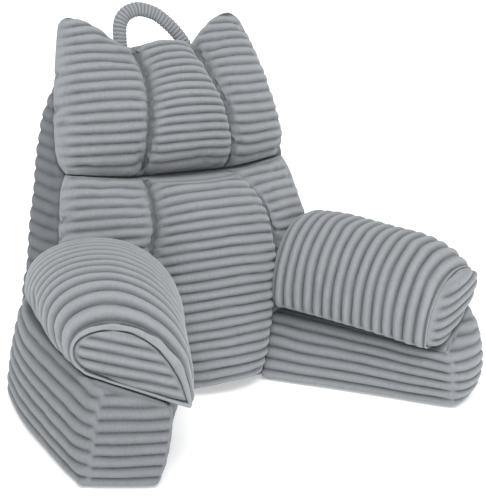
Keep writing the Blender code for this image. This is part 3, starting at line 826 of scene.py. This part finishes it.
@dataclass
class BackShell:
    """The stuffed wedge behind the cushions: its ribbed gussets and rear panel.

    outline rows hold a height, the half widths at the front and the rear, and the depth.
    """

    outline: Table = (
        (0.000, 0.330, 0.300, 0.205),
        (0.080, 0.306, 0.290, 0.193),
        (0.160, 0.280, 0.288, 0.181),
        (0.220, 0.265, 0.277, 0.171),
        (0.300, 0.259, 0.262, 0.159),
        (0.400, 0.243, 0.239, 0.138),
        (0.453, 0.241, 0.228, 0.121),
        (0.505, 0.232, 0.218, 0.096),
        (0.549, 0.214, 0.200, 0.062),
        (0.572, 0.200, 0.182, 0.017),
    )
    top: float = 0.572
    ribs: int = 25
    relief: float = 0.6
    gusset_bulge: float = 0.003
    rear_crown: float = 0.016
    corner: float = 0.035
    gusset_steps: int = 10
    rear_steps: int = 14

    def ring(self, height: float, rib: float) -> list[Knot]:
        """Return one level section: its front line, gussets and crowned rear."""
        front_y = PLANE.y_at(height) + GAP
        front_x, rear_x, depth = (read(self.outline, height, column) for column in (1, 2, 3))
        rear_y = front_y + depth
        corner = min(self.corner, 0.45 * depth)
        swell = min(self.rear_crown, 0.5 * depth)
        corner_x, corner_y = rear_x - corner, rear_y - corner
        side = []
        for step in range(self.gusset_steps):
            share = step / self.gusset_steps
            bulge = 4.0 * self.gusset_bulge * share * (1.0 - share)
            place = Vector((mix(front_x, rear_x, share) + bulge, mix(front_y, corner_y, share), height))
            held = 1.0 if step == 0 else 0.0
            side.append(Knot(place, rib, self.relief * min(1.0, 0.2 + 6.0 * share), held))
        for turn in range(0, 90, 18):
            angle = math.radians(turn)
            x, y = corner_x + corner * math.cos(angle), corner_y + corner * math.sin(angle)
            side.append(Knot(Vector((x, y, height)), rib, self.relief))
        rear = []
        for step in range(self.rear_steps + 1):
            share = 1.0 - 2.0 * step / self.rear_steps
            y = rear_y + swell * (1 - share * share)
            rear.append(Knot(Vector((corner_x * share, y, height)), rib, self.relief))
        other = [k._replace(point=Vector((-k.point.x, k.point.y, k.point.z))) for k in reversed(side)]
        return side + rear + other

    def build(self, cutters: Sequence[Callable[[], bpy.types.Object]]) -> bpy.types.Object:
        """Make the wedge and take away the spaces where the arms are sewn to it."""
        bm = new_form()
        rows = []
        steps = 2 * self.ribs
        for step in range(steps + 1):
            rows.append(add_knots(bm, self.ring(self.top * step / steps, step / 2)))
        join_rows(bm, rows, closed=True)
        for row in (rows[0], rows[-1]):
            close_with_rings(bm, row)
        piece = finish_form("back_shell", bm)
        refine(piece)
        swell_cloth(piece, pressure=1.0, most=0.003, slack=0.02)
        refine(piece)
        raise_ribs(piece)
        for make in cutters:
            cut_away(piece, make())
        dress(piece, Finish.GUSSET, "back_shell")
        return piece


CLOSING_RINGS = (0.97, 0.6, 0.25)    # the smaller rings' sizes, as shares of the end ring


def close_with_rings(bm: bmesh.types.BMesh, row: list) -> None:
    """Close a ring of vertices with smaller flat rings and a last face.

    Args:
        bm: The form.
        row: Its end ring.
    """
    rib_layer = bm.verts.layers.float["rib"]
    middle = sum((vertex.co for vertex in row), Vector()) / len(row)
    rings = [row]
    for spread in CLOSING_RINGS:
        knots = [Knot(mix(middle, v.co, spread), v[rib_layer], 0.0, 1.0) for v in row]
        rings.append(add_knots(bm, knots))
    join_rows(bm, rings, closed=True)
    bm.faces.new(rings[-1])


# ---------------------------------------------------------------- the arms
@dataclass(frozen=True)
class Side:
    """What differs between the two arms."""

    label: str
    sign: int                     # its direction along X
    reach: float                  # the arm's length as a share of the nominal one
    skew: float                   # how much further the pad's outer side reaches forward
    lean: float                   # how much further forward the pad's foot reaches than its crest
    front: tuple[float, float]    # the base's inner height at its front, and the slope outwards


LEFT = Side("left", -1, 1.010, 0.0, 0.22, (0.124, 0.33))
RIGHT = Side("right", 1, 0.970, 0.15, 0.0, (0.107, 0.56))


@dataclass(frozen=True)
class ArmLine:
    """The axis from which both arms' sizes are measured, and the slope of the bases' tops."""

    root_x: float = 0.100
    root_y: float = 0.005
    flare: float = math.radians(30.0)
    length: float = 0.362
    inner_across: tuple = (0.028, 0.006)      # where the top's inner edge runs, rear and front
    rear_height: float = 0.130
    rear_slope: float = 0.225

    def point(self, side: Side, across: float, along: float, height: float) -> Vector:
        """Return a point given across the arm outwards, along it forwards, and its height."""
        reach = along * side.reach
        x = self.root_x + across * math.cos(self.flare) + reach * math.sin(self.flare)
        y = self.root_y + across * math.sin(self.flare) - reach * math.cos(self.flare)
        return Vector((side.sign * x, y, height))

    def top(self, side: Side, across: float, along: float) -> float:
        """Return the height of a base's top, on which its pad lies."""
        share = (along + 0.02) / (self.length + 0.02)
        front_height, front_slope = side.front
        inner_height = mix(self.rear_height, front_height, share)
        slope = mix(self.rear_slope, front_slope, share)
        return inner_height + slope * (across - mix(*self.inner_across, share))


ARM = ArmLine()


@dataclass
class ArmBase:
    """A low box cushion with ribs along its sides and a chevron seam at its front corners.

    outer and inner rows hold a place along the arm and the distances across it at the floor
    and at the top.
    """

    side: Side
    outer: Table = (
        (0.362, 0.133, 0.111),
        (0.300, 0.166, 0.146),
        (0.220, 0.204, 0.190),
        (0.146, 0.238, 0.228),
        (0.060, 0.270, 0.250),
        (-0.005, 0.289, 0.258),
        (-0.035, 0.293, 0.260),
        (-0.065, 0.284, 0.252),
        (-0.110, 0.256, 0.230),
    )
    inner: Table = (
        (-0.110, -0.022, 0.033),
        (-0.006, -0.010, 0.028),
        (0.170, 0.012, 0.018),
        (0.362, 0.029, 0.006),
    )
    rear: float = -0.110
    crown: float = 0.011
    end_bow: float = 0.006
    seam_share: float = 0.87     # where the chevron seam runs down the end panel
    outer_ribs: float = 7.6
    inner_ribs: float = 6.0
    end_pitch: float = 0.0186
    seam_relief: float = 0.25    # the ribs' relief at a seam, and how fast it grows beside it
    seam_growth: float = 30.0
    top_relief: float = 0.25
    top_ribs: float = 6.0        # how many ribs lie between the top's edge and its middle
    top_rings: tuple = (0.93, 0.80, 0.60, 0.35)
    levels: int = 20
    inner_steps: int = 22
    end_steps: int = 12
    outer_steps: int = 26
    interface_along: float = -0.008
    interface_slope: float = -0.185
    interface_width: float = 0.3
    space_levels: int = 12
    space_width: float = 0.0030  # how much wider the space is that the base takes from the back
    space_lift: float = 0.0012
    space_drop: float = 0.010

    def stations(self) -> list[tuple[str, float]]:
        """Return the places round the plan as (face, share) pairs, closer at the seams."""
        inner = [0.0] + [i / self.inner_steps for i in range(1, self.inner_steps)] + [0.985]
        seam = [self.seam_share - 0.003, self.seam_share + 0.003]
        end = [0.0, 0.03] + [i / self.end_steps for i in range(1, self.end_steps - 1)] + seam + [0.94]
        outer = [0.0, 0.015] + [i / self.outer_steps for i in range(1, self.outer_steps + 1)]
        return (
            [("inner", share) for share in inner]
            + [("end", share) for share in end]
            + [("outer", share) for share in outer]
        )

    def plan(self, face: str, share: float, lift: float, widen: float) -> tuple[float, float]:
        """Return (across, along) of a station at a share of the base's height.

        Args:
            face: inner, end or outer.
            share: The station's share along that face.
            lift: 0 at the floor and 1 at the top edge.
            widen: How much wider than the base itself, for the space it takes from the back.
        """
        swell = self.crown * dome(2 * lift - 1, 2.5) + widen
        front = ARM.length + 0.8 * swell
        if face == "inner":
            along = mix(self.rear, ARM.length, share)
            across = mix(read(self.inner, along, 1), read(self.inner, along, 2), lift)
            return across - swell, mix(self.rear, front, share)
        if face == "outer":
            along = mix(ARM.length, self.rear, share)
            across = mix(read(self.outer, along, 1), read(self.outer, along, 2), lift)
            return across + swell, mix(front, self.rear, share)
        inner_corner = mix(self.inner[-1][1], self.inner[-1][2], lift) - swell
        outer_corner = mix(self.outer[0][1], self.outer[0][2], lift) + swell
        bow = self.end_bow * dome(2 * share - 1, 2.0) * dome(2 * lift - 1, 1.8)
        return mix(inner_corner, outer_corner, share), front + bow

    def knot(self, face: str, share: float, lift: float, widen: float, lifted: float) -> Knot:
        """Return the knot of a station at a share of the base's height."""
        across, along = self.plan(face, share, lift, widen)
        height = lift * (ARM.top(self.side, *self.plan(face, share, 1.0, widen)) + lifted)
        if face == "inner":
            rib = self.inner_ribs * lift
        elif face == "outer" or share > self.seam_share:
            rib = self.outer_ribs * lift
        else:
            rib = height / self.end_pitch
        from_inner_seam = {"inner": 1.0 - share, "end": share, "outer": 1.0}[face]
        from_seam = min(from_inner_seam, abs(share - self.seam_share) if face == "end" else 1.0)
        relief = min(1.0, self.seam_relief + from_seam * self.seam_growth)
        held = 1.0 if from_seam < 0.001 or lift in (0.0, 1.0) else 0.0
        return Knot(ARM.point(self.side, across, along, height), rib, relief, held)

    def form(self, name: str, levels: int, widen: float, lifted: float) -> bpy.types.Object:
        """Return the base's closed form, or for a cutter the slightly larger space around it."""
        bm = new_form()
        rows = []
        for level in range(levels + 1):
            lift = level / levels
            knots = [self.knot(face, share, lift, widen, lifted) for face, share in self.stations()]
            rows.append(add_knots(bm, knots))
        if widen:
            for vertex in rows[0]:
                vertex.co.z -= self.space_drop
        plan = [self.plan(face, share, 1.0, widen) for face, share in self.stations()]
        middle_across = sum(across for across, _ in plan) / len(plan)
        middle_along = sum(along for _, along in plan) / len(plan)
        for spread in self.top_rings:
            rib = self.outer_ribs + (1.0 - spread) * self.top_ribs
            knots = []
            for across, along in plan:
                inward_across = mix(middle_across, across, spread)
                inward_along = mix(middle_along, along, spread)
                height = ARM.top(self.side, inward_across, inward_along) + lifted
                place = ARM.point(self.side, inward_across, inward_along, height)
                knots.append(Knot(place, rib, self.top_relief, 1.0))
            rows.append(add_knots(bm, knots))
        join_rows(bm, rows, closed=True)
        bm.faces.new(rows[-1])
        close_with_rings(bm, rows[0])
        bmesh.ops.remove_doubles(bm, verts=bm.verts, dist=SAME_PLACE)
        self.cut_at_interface(bm, widen)
        return finish_form(name, bm)

    def cut_at_interface(self, bm: bmesh.types.BMesh, widen: float) -> None:
        """Cut the form off flat where it is sewn to the back."""
        along = self.interface_along - widen
        start = ARM.point(self.side, 0.0, along, 0.0)
        width = self.interface_width
        end = ARM.point(self.side, width, along + width * self.interface_slope, 0.0)
        rearward = (end - start).cross(Vector((0.0, 0.0, 1.0)))
        if rearward.y < 0:
            rearward.negate()
        bmesh.ops.bisect_plane(
            bm,
            geom=bm.verts[:] + bm.edges[:] + bm.faces[:],
            dist=SAME_PLACE,
            plane_co=start,
            plane_no=rearward,
            clear_outer=True,
        )
        edges = [edge for edge in bm.edges if edge.is_boundary]
        bmesh.ops.holes_fill(bm, edges=edges, sides=0)

    def space(self) -> bpy.types.Object:
        """Return the space that the base takes from the back."""
        name = self.side.label + "_base_space"
        return self.form(name, self.space_levels, self.space_width, self.space_lift)

    def build(self) -> bpy.types.Object:
        """Make the ribbed base."""
        piece = self.form(self.side.label + "_arm_base", self.levels, 0.0, 0.0)
        refine(piece)
        swell_cloth(piece, pressure=1.5, most=0.003, slack=0.0)
        refine(piece)
        raise_ribs(piece)
        # The left base takes the darker copy of the plush, as painted shade.
        finish = Finish.LEFT_BASE if self.side is LEFT else Finish.RIGHT_BASE
        dress(piece, finish, self.side.label + "_arm_base")
        return piece


@dataclass
class ArmPad:
    """A half-round pad with ribs around it.

    sections rows hold a place along the arm, the inner tip's distance across and height, the
    crest's distance across and height, and the outer side's distance across.
    """

    side: Side
    sections: Table
    rear: float = 0.020
    front: float = 0.316
    ribs: int = 15
    seat_gap: float = 0.0034
    foot_inset: float = 0.028
    widest_rise: float = 0.036
    skew_centre: float = -0.060
    lean_height: float = 0.20
    seam_shade: bool = True        # whether painted shade darkens the creases at the hem's edges
    seat_relief: float = 0.1
    seat_shares: tuple = (0.06, 0.12, 0.18, 0.25, 0.37, 0.5, 0.62, 0.75, 0.88, 1.0)
    breadths: Table = (
        (0.0, 0.0060),
        (5.0, 0.0045),
        (15.0, 0.0045),
        (22.0, 0.0100),
        (27.0, 0.0110),
        (34.0, 0.0160),
        (38.0, 0.0090),
    )
    end_rings: Table = ((0.35, 0.022), (0.75, 0.016), (0.93, 0.007))

    def outline(self, along: float) -> list[Vector]:
        """Return the section at a place, as (across, height), from its inner tip round under it."""
        tip, tip_height, crest, crest_height, outer = (read(self.sections, along, i) for i in range(1, 6))
        foot = outer - self.foot_inset

        def seat(across: float) -> float:
            """Return the height at which the pad lies on its base."""
            return ARM.top(self.side, across, along) + self.seat_gap

        widest_height = seat(foot) + self.widest_rise
        curl = tip_height - seat(tip)
        points = [Vector((tip, tip_height))]
        for share in self.seat_shares:
            across = mix(tip, foot, share)
            lift = curl * max(0.0, 1.0 - 4.0 * share) ** 1.5
            points.append(Vector((across, seat(across) + lift)))
        for turn in range(15, 91, 15):
            angle = math.radians(turn)
            across = mix(foot, outer, math.sin(angle))
            points.append(Vector((across, mix(widest_height, seat(across), math.cos(angle)))))
        for turn in range(9, 91, 9):
            angle = math.radians(turn)
            across = mix(crest, outer, math.cos(angle) ** 0.9 if turn < 90 else 0.0)
            points.append(Vector((across, mix(widest_height, crest_height, math.sin(angle) ** 0.9))))
        for turn in range(7, 90, 7):
            angle = math.radians(turn)
            across = mix(crest, tip, math.sin(angle) ** 1.05)
            points.append(Vector((across, mix(tip_height, crest_height, math.cos(angle) ** 0.9))))
        return points

    def hem_breadths(self) -> list[float]:
        """Return how broad the hem lies round the front's outline, at each of its points."""
        return [read(self.breadths, index, 1) for index in range(len(self.outline(self.front)))]

    def place(self, across: float, along: float, height: float) -> Vector:
        """Return a point of the pad, given on a pad whose front end is square."""
        share = min(1.0, max(0.0, (along - self.rear) / (self.front - self.rear)))
        skewed = along + self.side.skew * share * share * (across - self.skew_centre)
        skewed += self.side.lean * share ** 3 * (self.lean_height - height)
        section = min(along, self.front)
        rise = ARM.top(self.side, across, skewed) - ARM.top(self.side, across, section)
        return ARM.point(self.side, across, skewed, height + rise)

    def build(self) -> bpy.types.Object:
        """Make the pad with its rounded rear end and its flat front."""
        bm = new_form()
        rows = []
        outline = self.outline(self.rear)
        middle = sum(outline, Vector((0.0, 0.0))) / len(outline)
        for spread, reach in self.end_rings:
            ring = [mix(middle, point, spread) for point in outline]
            rib = -reach / RIB_PITCH
            knots = [Knot(ARM.point(self.side, p.x, self.rear - reach, p.y), rib, 0.8, 0.0) for p in ring]
            rows.append(add_knots(bm, knots))
        steps = 2 * self.ribs
        for step in range(steps + 1):
            along = mix(self.rear, self.front, step / steps)
            held = 1.0 if step == steps else 0.0
            knots = []
            for index, point in enumerate(self.outline(along)):
                place = self.place(point.x, along, point.y)
                if 0 < index <= len(self.seat_shares):
                    knots.append(Knot(place, step / 2, self.seat_relief, 1.0))
                else:
                    knots.append(Knot(place, step / 2, 1.0, held))
            rows.append(add_knots(bm, knots))
        join_rows(bm, rows, closed=True)
        bm.faces.new(rows[0])
        close_with_rings(bm, rows[-1])
        piece = finish_form(self.side.label + "_arm_pad", bm)
        refine(piece)
        swell_cloth(piece, pressure=2.0, most=0.004, slack=0.02)
        refine(piece)
        raise_ribs(piece, PAD_RIB_RISE)
        dress(piece, Finish.PAD, self.side.label + "_arm_pad")
        return piece


LEFT_SECTIONS = (
    (0.010, -0.012, 0.152, 0.125, 0.296, 0.252),
    (0.080, -0.016, 0.147, 0.120, 0.305, 0.244),
    (0.160, -0.021, 0.140, 0.112, 0.303, 0.224),
    (0.240, -0.027, 0.130, 0.104, 0.290, 0.197),
    (0.290, -0.031, 0.121, 0.095, 0.266, 0.171),
    (0.316, -0.030, 0.117, 0.088, 0.243, 0.153),
)
RIGHT_SECTIONS = (
    (0.010, -0.012, 0.152, 0.125, 0.296, 0.252),
    (0.080, -0.016, 0.147, 0.120, 0.296, 0.244),
    (0.160, -0.021, 0.140, 0.113, 0.285, 0.226),
    (0.240, -0.024, 0.131, 0.107, 0.275, 0.202),
    (0.290, -0.023, 0.122, 0.101, 0.257, 0.176),
    (0.316, -0.020, 0.118, 0.096, 0.237, 0.156),
)
THIN_HEM = ((0.0, 0.0030), (38.0, 0.0030))


@dataclass
class PadHem:
    """The folded hem that stands proud around a pad's front end.

    fold rows hold how far inside the pad's outline the hem's cloth lies, as a share of its
    breadth there, and how far forward, as a share of the hem's width.
    """

    pad: ArmPad
    width: float = 0.010
    tuck_size: float = 0.009     # how far apart the small tucks along the hem are
    tuck_share: float = 0.5
    fold: Table = (
        (0.06, 0.0),
        (0.00, 0.30),
        (0.00, 0.70),
        (0.08, 0.93),
        (0.28, 1.05),
        (0.60, 1.02),
        (0.86, 0.95),
        (1.00, 0.72),
        (1.00, 0.35),
        (0.98, 0.0),
    )

    def build(self) -> bpy.types.Object:
        """Make the hem as one closed roll of cloth, a little uneven along its length."""
        bm = new_form()
        outline = self.pad.outline(self.pad.front)
        breadths = self.pad.hem_breadths()
        rows = []
        for depth, reach in self.fold:
            knots = []
            for point, breadth in zip(inset(outline, [depth * b for b in breadths]), breadths):
                place = self.pad.place(point.x, self.pad.front + GAP + self.width * reach, point.y)
                wave = ripple(*place, self.tuck_size) * self.tuck_share * breadth * reach
                # Painted shade: the hem's outermost and innermost rows are darkened like seams, for the
                # creases against the pad and the end panel.
                seam = 0.0 if self.pad.seam_shade and not 0.1 < depth < 0.97 else 0.1
                knots.append(Knot(place + Vector((0.0, -wave, wave)), 0.5, 0.0, 0.0, seam))
            rows.append(add_knots(bm, knots))
        join_rows(bm, rows + [rows[0]], closed=True)
        piece = finish_form(self.pad.side.label + "_pad_hem", bm)
        refine(piece, 2)
        raise_ribs(piece, 0.0)
        dress(piece, Finish.PAD, self.pad.side.label + "_pad_hem")
        return piece


def inset(outline: Sequence[Vector], depths: Sequence[float]) -> list[Vector]:
    """Move the points of a closed outline of (across, height) points inwards by their depths."""
    moved = []
    count = len(outline)
    for i, point in enumerate(outline):
        before = point - outline[i - 1]
        after = outline[(i + 1) % count] - point
        normal_before = Vector((-before.y, before.x)).normalized()
        normal_after = Vector((-after.y, after.x)).normalized()
        mitre = (normal_before + normal_after) / max(0.5, 1 + normal_before.dot(normal_after))
        moved.append(point + mitre * depths[i])
    return moved


@dataclass
class PadEnd:
    """The ribbed panel that closes a pad's front, set back inside its hem."""

    pad: ArmPad
    clearance: float = 0.0008
    thickness: float = 0.005
    crown: float = 0.006
    ribs: int = 5
    columns: int = 16
    tilt: float = math.radians(11.0)
    first_rise: float = 0.015    # the lowest and highest ribs, as shares of the panel's height
    last_rise: float = 0.985

    def chord(self, outline: Sequence[Vector], level: float) -> tuple[Vector, Vector]:
        """Return where a line tilted outwards and upwards enters and leaves an outline."""
        rib_way = Vector((math.cos(self.tilt), math.sin(self.tilt)))
        across_way = Vector((-rib_way.y, rib_way.x))
        ends = []
        for i, point in enumerate(outline):
            low, high = outline[i - 1].dot(across_way), point.dot(across_way)
            if (low - level) * (high - level) < 0:
                ends.append(mix(outline[i - 1], point, (level - low) / (high - low)).dot(rib_way))
        return tuple(rib_way * reach + across_way * level for reach in (min(ends), max(ends)))

    def build(self) -> bpy.types.Object:
        """Make the panel as a shallow cushion with tilted ribs."""
        bm = new_form()
        depths = [breadth + self.clearance for breadth in self.pad.hem_breadths()]
        outline = inset(self.pad.outline(self.pad.front), depths)
        across_way = Vector((-math.sin(self.tilt), math.cos(self.tilt)))
        levels = [point.dot(across_way) for point in outline]
        rows, backs = [], []
        flat = self.pad.front + GAP
        steps = 2 * self.ribs
        for step in range(steps + 1):
            rise = mix(self.first_rise, self.last_rise, step / steps)
            start, end = self.chord(outline, mix(min(levels), max(levels), rise))
            row, back = [], []
            for column in range(self.columns + 1):
                share = column / self.columns
                point = mix(start, end, share)
                inside = dome(2 * share - 1, 2.5) * dome(2 * rise - 1, 3.0)
                forward = self.pad.front + GAP + self.thickness + self.crown * inside
                rim = column in (0, self.columns) or step in (0, steps)
                relief = 0.0 if rim else 1.0
                row.append(Knot(self.pad.place(point.x, forward, point.y), step / 2, relief, float(rim)))
                back.append(Knot(self.pad.place(point.x, flat, point.y), step / 2, 0.0, 1.0))
            rows.append(add_knots(bm, row))
            backs.append(add_knots(bm, back))
        join_rows(bm, rows, closed=False)
        join_rows(bm, backs, closed=False)
        rims = []
        for grid in (rows, backs):
            right_rim = [row[-1] for row in grid[1:-1]]
            left_rim = [row[0] for row in grid[-2:0:-1]]
            rims.append(grid[0] + right_rim + grid[-1][::-1] + left_rim)
        join_rows(bm, rims, closed=True)
        piece = finish_form(self.pad.side.label + "_pad_end", bm)
        refine(piece, 2)
        raise_ribs(piece)
        dress(piece, Finish.CUSHION, self.pad.side.label + "_pad_end")
        return piece


# ---------------------------------------------------------------- the handle
@dataclass
class CarryHandle:
    """The stuffed strap with fine cross ribs whose feet are sewn behind the head section.

    route rows hold X and the height of its middle line on the back's own slope.
    """

    width: float = 0.027
    thickness: float = 0.013
    ribs: int = 38
    rise: float = 0.0017
    sink: float = 0.55           # how much of the ribs' rise lies below the smooth form
    waver: float = 0.12          # how far a rib wavers, in ribs
    waver_size: float = 0.02
    clearance: float = 0.0011
    sides: int = 16
    steps_per_rib: int = 6
    fine_steps: int = 400
    route: Table = (
        (-0.074, 0.580),
        (-0.078, 0.606),
        (-0.076, 0.632),
        (-0.070, 0.653),
        (-0.055, 0.668),
        (-0.032, 0.675),
        (-0.011, 0.672),
        (0.009, 0.664),
        (0.028, 0.649),
        (0.044, 0.632),
        (0.055, 0.616),
        (0.061, 0.600),
        (0.062, 0.580),
    )

    def middle_line(self, steps: int) -> list[Vector]:
        """Return evenly spaced points along the strap's middle line."""
        table = [(index, *point) for index, point in enumerate(self.route)]
        behind = PLANE.backwards() * (GAP + self.thickness / 2 + self.clearance)
        last = len(table) - 1
        fine = []
        for i in range(self.fine_steps + 1):
            x, z = (read(table, last * i / self.fine_steps, column) for column in (1, 2))
            fine.append(np.array(PLANE.point(x, z, 0.0) + behind))
        fine = np.array(fine)
        travelled = np.concatenate([[0.0], np.cumsum(np.linalg.norm(np.diff(fine, axis=0), axis=1))])
        wanted = np.linspace(0.0, travelled[-1], steps + 1)
        return [Vector([float(np.interp(w, travelled, fine[:, k])) for k in range(3)]) for w in wanted]

    def build(self) -> bpy.types.Object:
        """Make the strap, each of its cross ribs round and a little uneven."""
        bm = new_form()
        steps = self.ribs * self.steps_per_rib
        line = self.middle_line(steps)
        rows = []
        for i, middle in enumerate(line):
            way = (line[min(i + 1, steps)] - line[max(i - 1, 0)]).normalized()
            outwards = way.cross(PLANE.backwards()).normalized()
            rib = i / self.steps_per_rib + self.waver * ripple(*middle, self.waver_size)
            crown = 1.0 - abs(2.0 * (rib % 1.0) - 1.0) ** 2.0
            rise = self.rise * (crown - self.sink)
            knots = []
            for turn in range(self.sides):
                angle = math.tau * turn / self.sides
                flat = outwards * math.cos(angle) * (self.width / 2 + rise)
                thick = PLANE.backwards() * math.sin(angle) * (self.thickness / 2 + rise)
                knots.append(Knot(middle + flat + thick, rib, 0.0))
            rows.append(add_knots(bm, knots))
        join_rows(bm, rows, closed=True)
        bm.faces.new(rows[0])
        bm.faces.new(rows[-1])
        piece = finish_form("carry_handle", bm)
        mesh = piece.data
        rib = layer(mesh, "rib")
        # Painted shade in the grooves between the strap's ribs.
        groove_shade = mesh.attributes.new("groove_shade", "FLOAT", "POINT")
        groove_shade.data.foreach_set("value", np.abs(2.0 * (rib % 1.0) - 1.0) ** 3)
        mesh.shade_smooth()
        dress(piece, Finish.HANDLE, "carry_handle")
        return piece


# ---------------------------------------------------------------- the studio
@dataclass(frozen=True)
class Studio:
    """The camera at the photograph's place, a white floor and plain soft light."""

    camera_at: tuple = (-1.091, -1.724, 0.780)
    azimuth: float = math.radians(-33.293)
    elevation: float = math.radians(14.164)
    roll: float = math.radians(1.03)
    focal_pixels: float = 1177.6
    image_height: float = 498.0
    sensor: float = 36.0
    surround: float = 0.54
    key_from: tuple = (-0.25, -0.55, 0.90)
    key_spread: float = math.radians(38.0)
    key_power: float = 2.35
    backdrop: float = 1.05           # how bright the surround looks to the camera itself
    floor_tone: tuple = (0.93, 0.93, 0.93, 1.0)
    floor_glow: float = 0.35
    floor_size: float = 40.0
    floor_height: float = -0.0003

    def set_camera(self) -> None:
        """Create the camera and make it the scene's own."""
        level = math.cos(self.elevation)
        ahead = Vector((
            -math.sin(self.azimuth) * level,
            math.cos(self.azimuth) * level,
            -math.sin(self.elevation),
        ))
        right = Vector((math.cos(self.azimuth), math.sin(self.azimuth), 0.0))
        up = right.cross(ahead)
        rolled_right = right * math.cos(self.roll) + up * math.sin(self.roll)
        rolled_up = up * math.cos(self.roll) - right * math.sin(self.roll)
        data = bpy.data.cameras.new("camera")
        data.sensor_width = self.sensor
        data.lens = self.sensor * self.focal_pixels / self.image_height
        camera = bpy.data.objects.new("camera", data)
        bpy.context.collection.objects.link(camera)
        turned = Matrix((rolled_right, rolled_up, -ahead)).transposed().to_4x4()
        camera.matrix_world = Matrix.Translation(self.camera_at) @ turned
        bpy.context.scene.camera = camera

    def lay_floor(self) -> None:
        """Lay a wide white floor just under the pillow."""
        bpy.ops.mesh.primitive_grid_add(
            x_subdivisions=4,
            y_subdivisions=4,
            size=self.floor_size,
            location=(0.0, 0.0, self.floor_height),
        )
        floor = bpy.context.object
        floor.name = "floor"
        material = bpy.data.materials.new("white_floor")
        material.use_nodes = True
        surface = material.node_tree.nodes["Principled BSDF"]
        surface.inputs["Base Color"].default_value = self.floor_tone
        surface.inputs["Roughness"].default_value = 1.0
        surface.inputs["Specular IOR Level"].default_value = 0.0
        surface.inputs["Emission Color"].default_value = (1.0, 1.0, 1.0, 1.0)
        surface.inputs["Emission Strength"].default_value = self.floor_glow
        floor.data.materials.append(material)
        floor.select_set(False)

    def hang_sun(self) -> None:
        """Hang one broad soft light high at the front left."""
        data = bpy.data.lights.new("key", "SUN")
        data.energy = self.key_power
        data.angle = self.key_spread
        lamp = bpy.data.objects.new("key", data)
        bpy.context.collection.objects.link(lamp)
        way = -Vector(self.key_from)
        lamp.matrix_world = way.to_track_quat("-Z", "Y").to_matrix().to_4x4()

    def light(self) -> None:
        """Light the pillow from high at the front left, in a white surround."""
        world = bpy.data.worlds.new("white_surround")
        world.use_nodes = True
        nodes, links = world.node_tree.nodes, world.node_tree.links
        background = nodes["Background"]
        background.inputs["Color"].default_value = (1.0, 1.0, 1.0, 1.0)
        seen = nodes.new("ShaderNodeLightPath").outputs["Is Camera Ray"]
        strength = nodes.new("ShaderNodeMapRange")
        strength.inputs["To Min"].default_value = self.surround
        strength.inputs["To Max"].default_value = self.backdrop
        links.new(seen, strength.inputs["Value"])
        links.new(strength.outputs["Result"], background.inputs["Strength"])
        bpy.context.scene.world = world
        self.hang_sun()
        bpy.context.scene.view_settings.view_transform = "Standard"


def main() -> None:
    """Dress every piece of the pillow and set up the studio."""
    logging.basicConfig(level=logging.INFO, format="%(name)s %(message)s")
    bpy.ops.object.select_all(action="DESELECT")
    studio = Studio()
    studio.set_camera()
    bases = [ArmBase(LEFT), ArmBase(RIGHT, end_bow=0.030)]
    cutters = [base.space for base in bases]
    HEAD.build([])
    LUMBAR.build(cutters)
    BackShell().build(cutters)
    CarryHandle().build()
    for base in bases:
        base.build()
        if base.side is LEFT:
            pad = ArmPad(base.side, LEFT_SECTIONS, ribs=13)
            PadEnd(pad).build()
            PadHem(pad).build()
        else:
            pad = ArmPad(base.side, RIGHT_SECTIONS, breadths=THIN_HEM, seam_shade=False)
            PadEnd(pad, thickness=0.003, crown=0.026, ribs=6).build()
            PadHem(pad, width=0.002).build()
        pad.build()
    studio.lay_floor()
    studio.light()


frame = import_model()

if __name__ == "__main__":
    main()
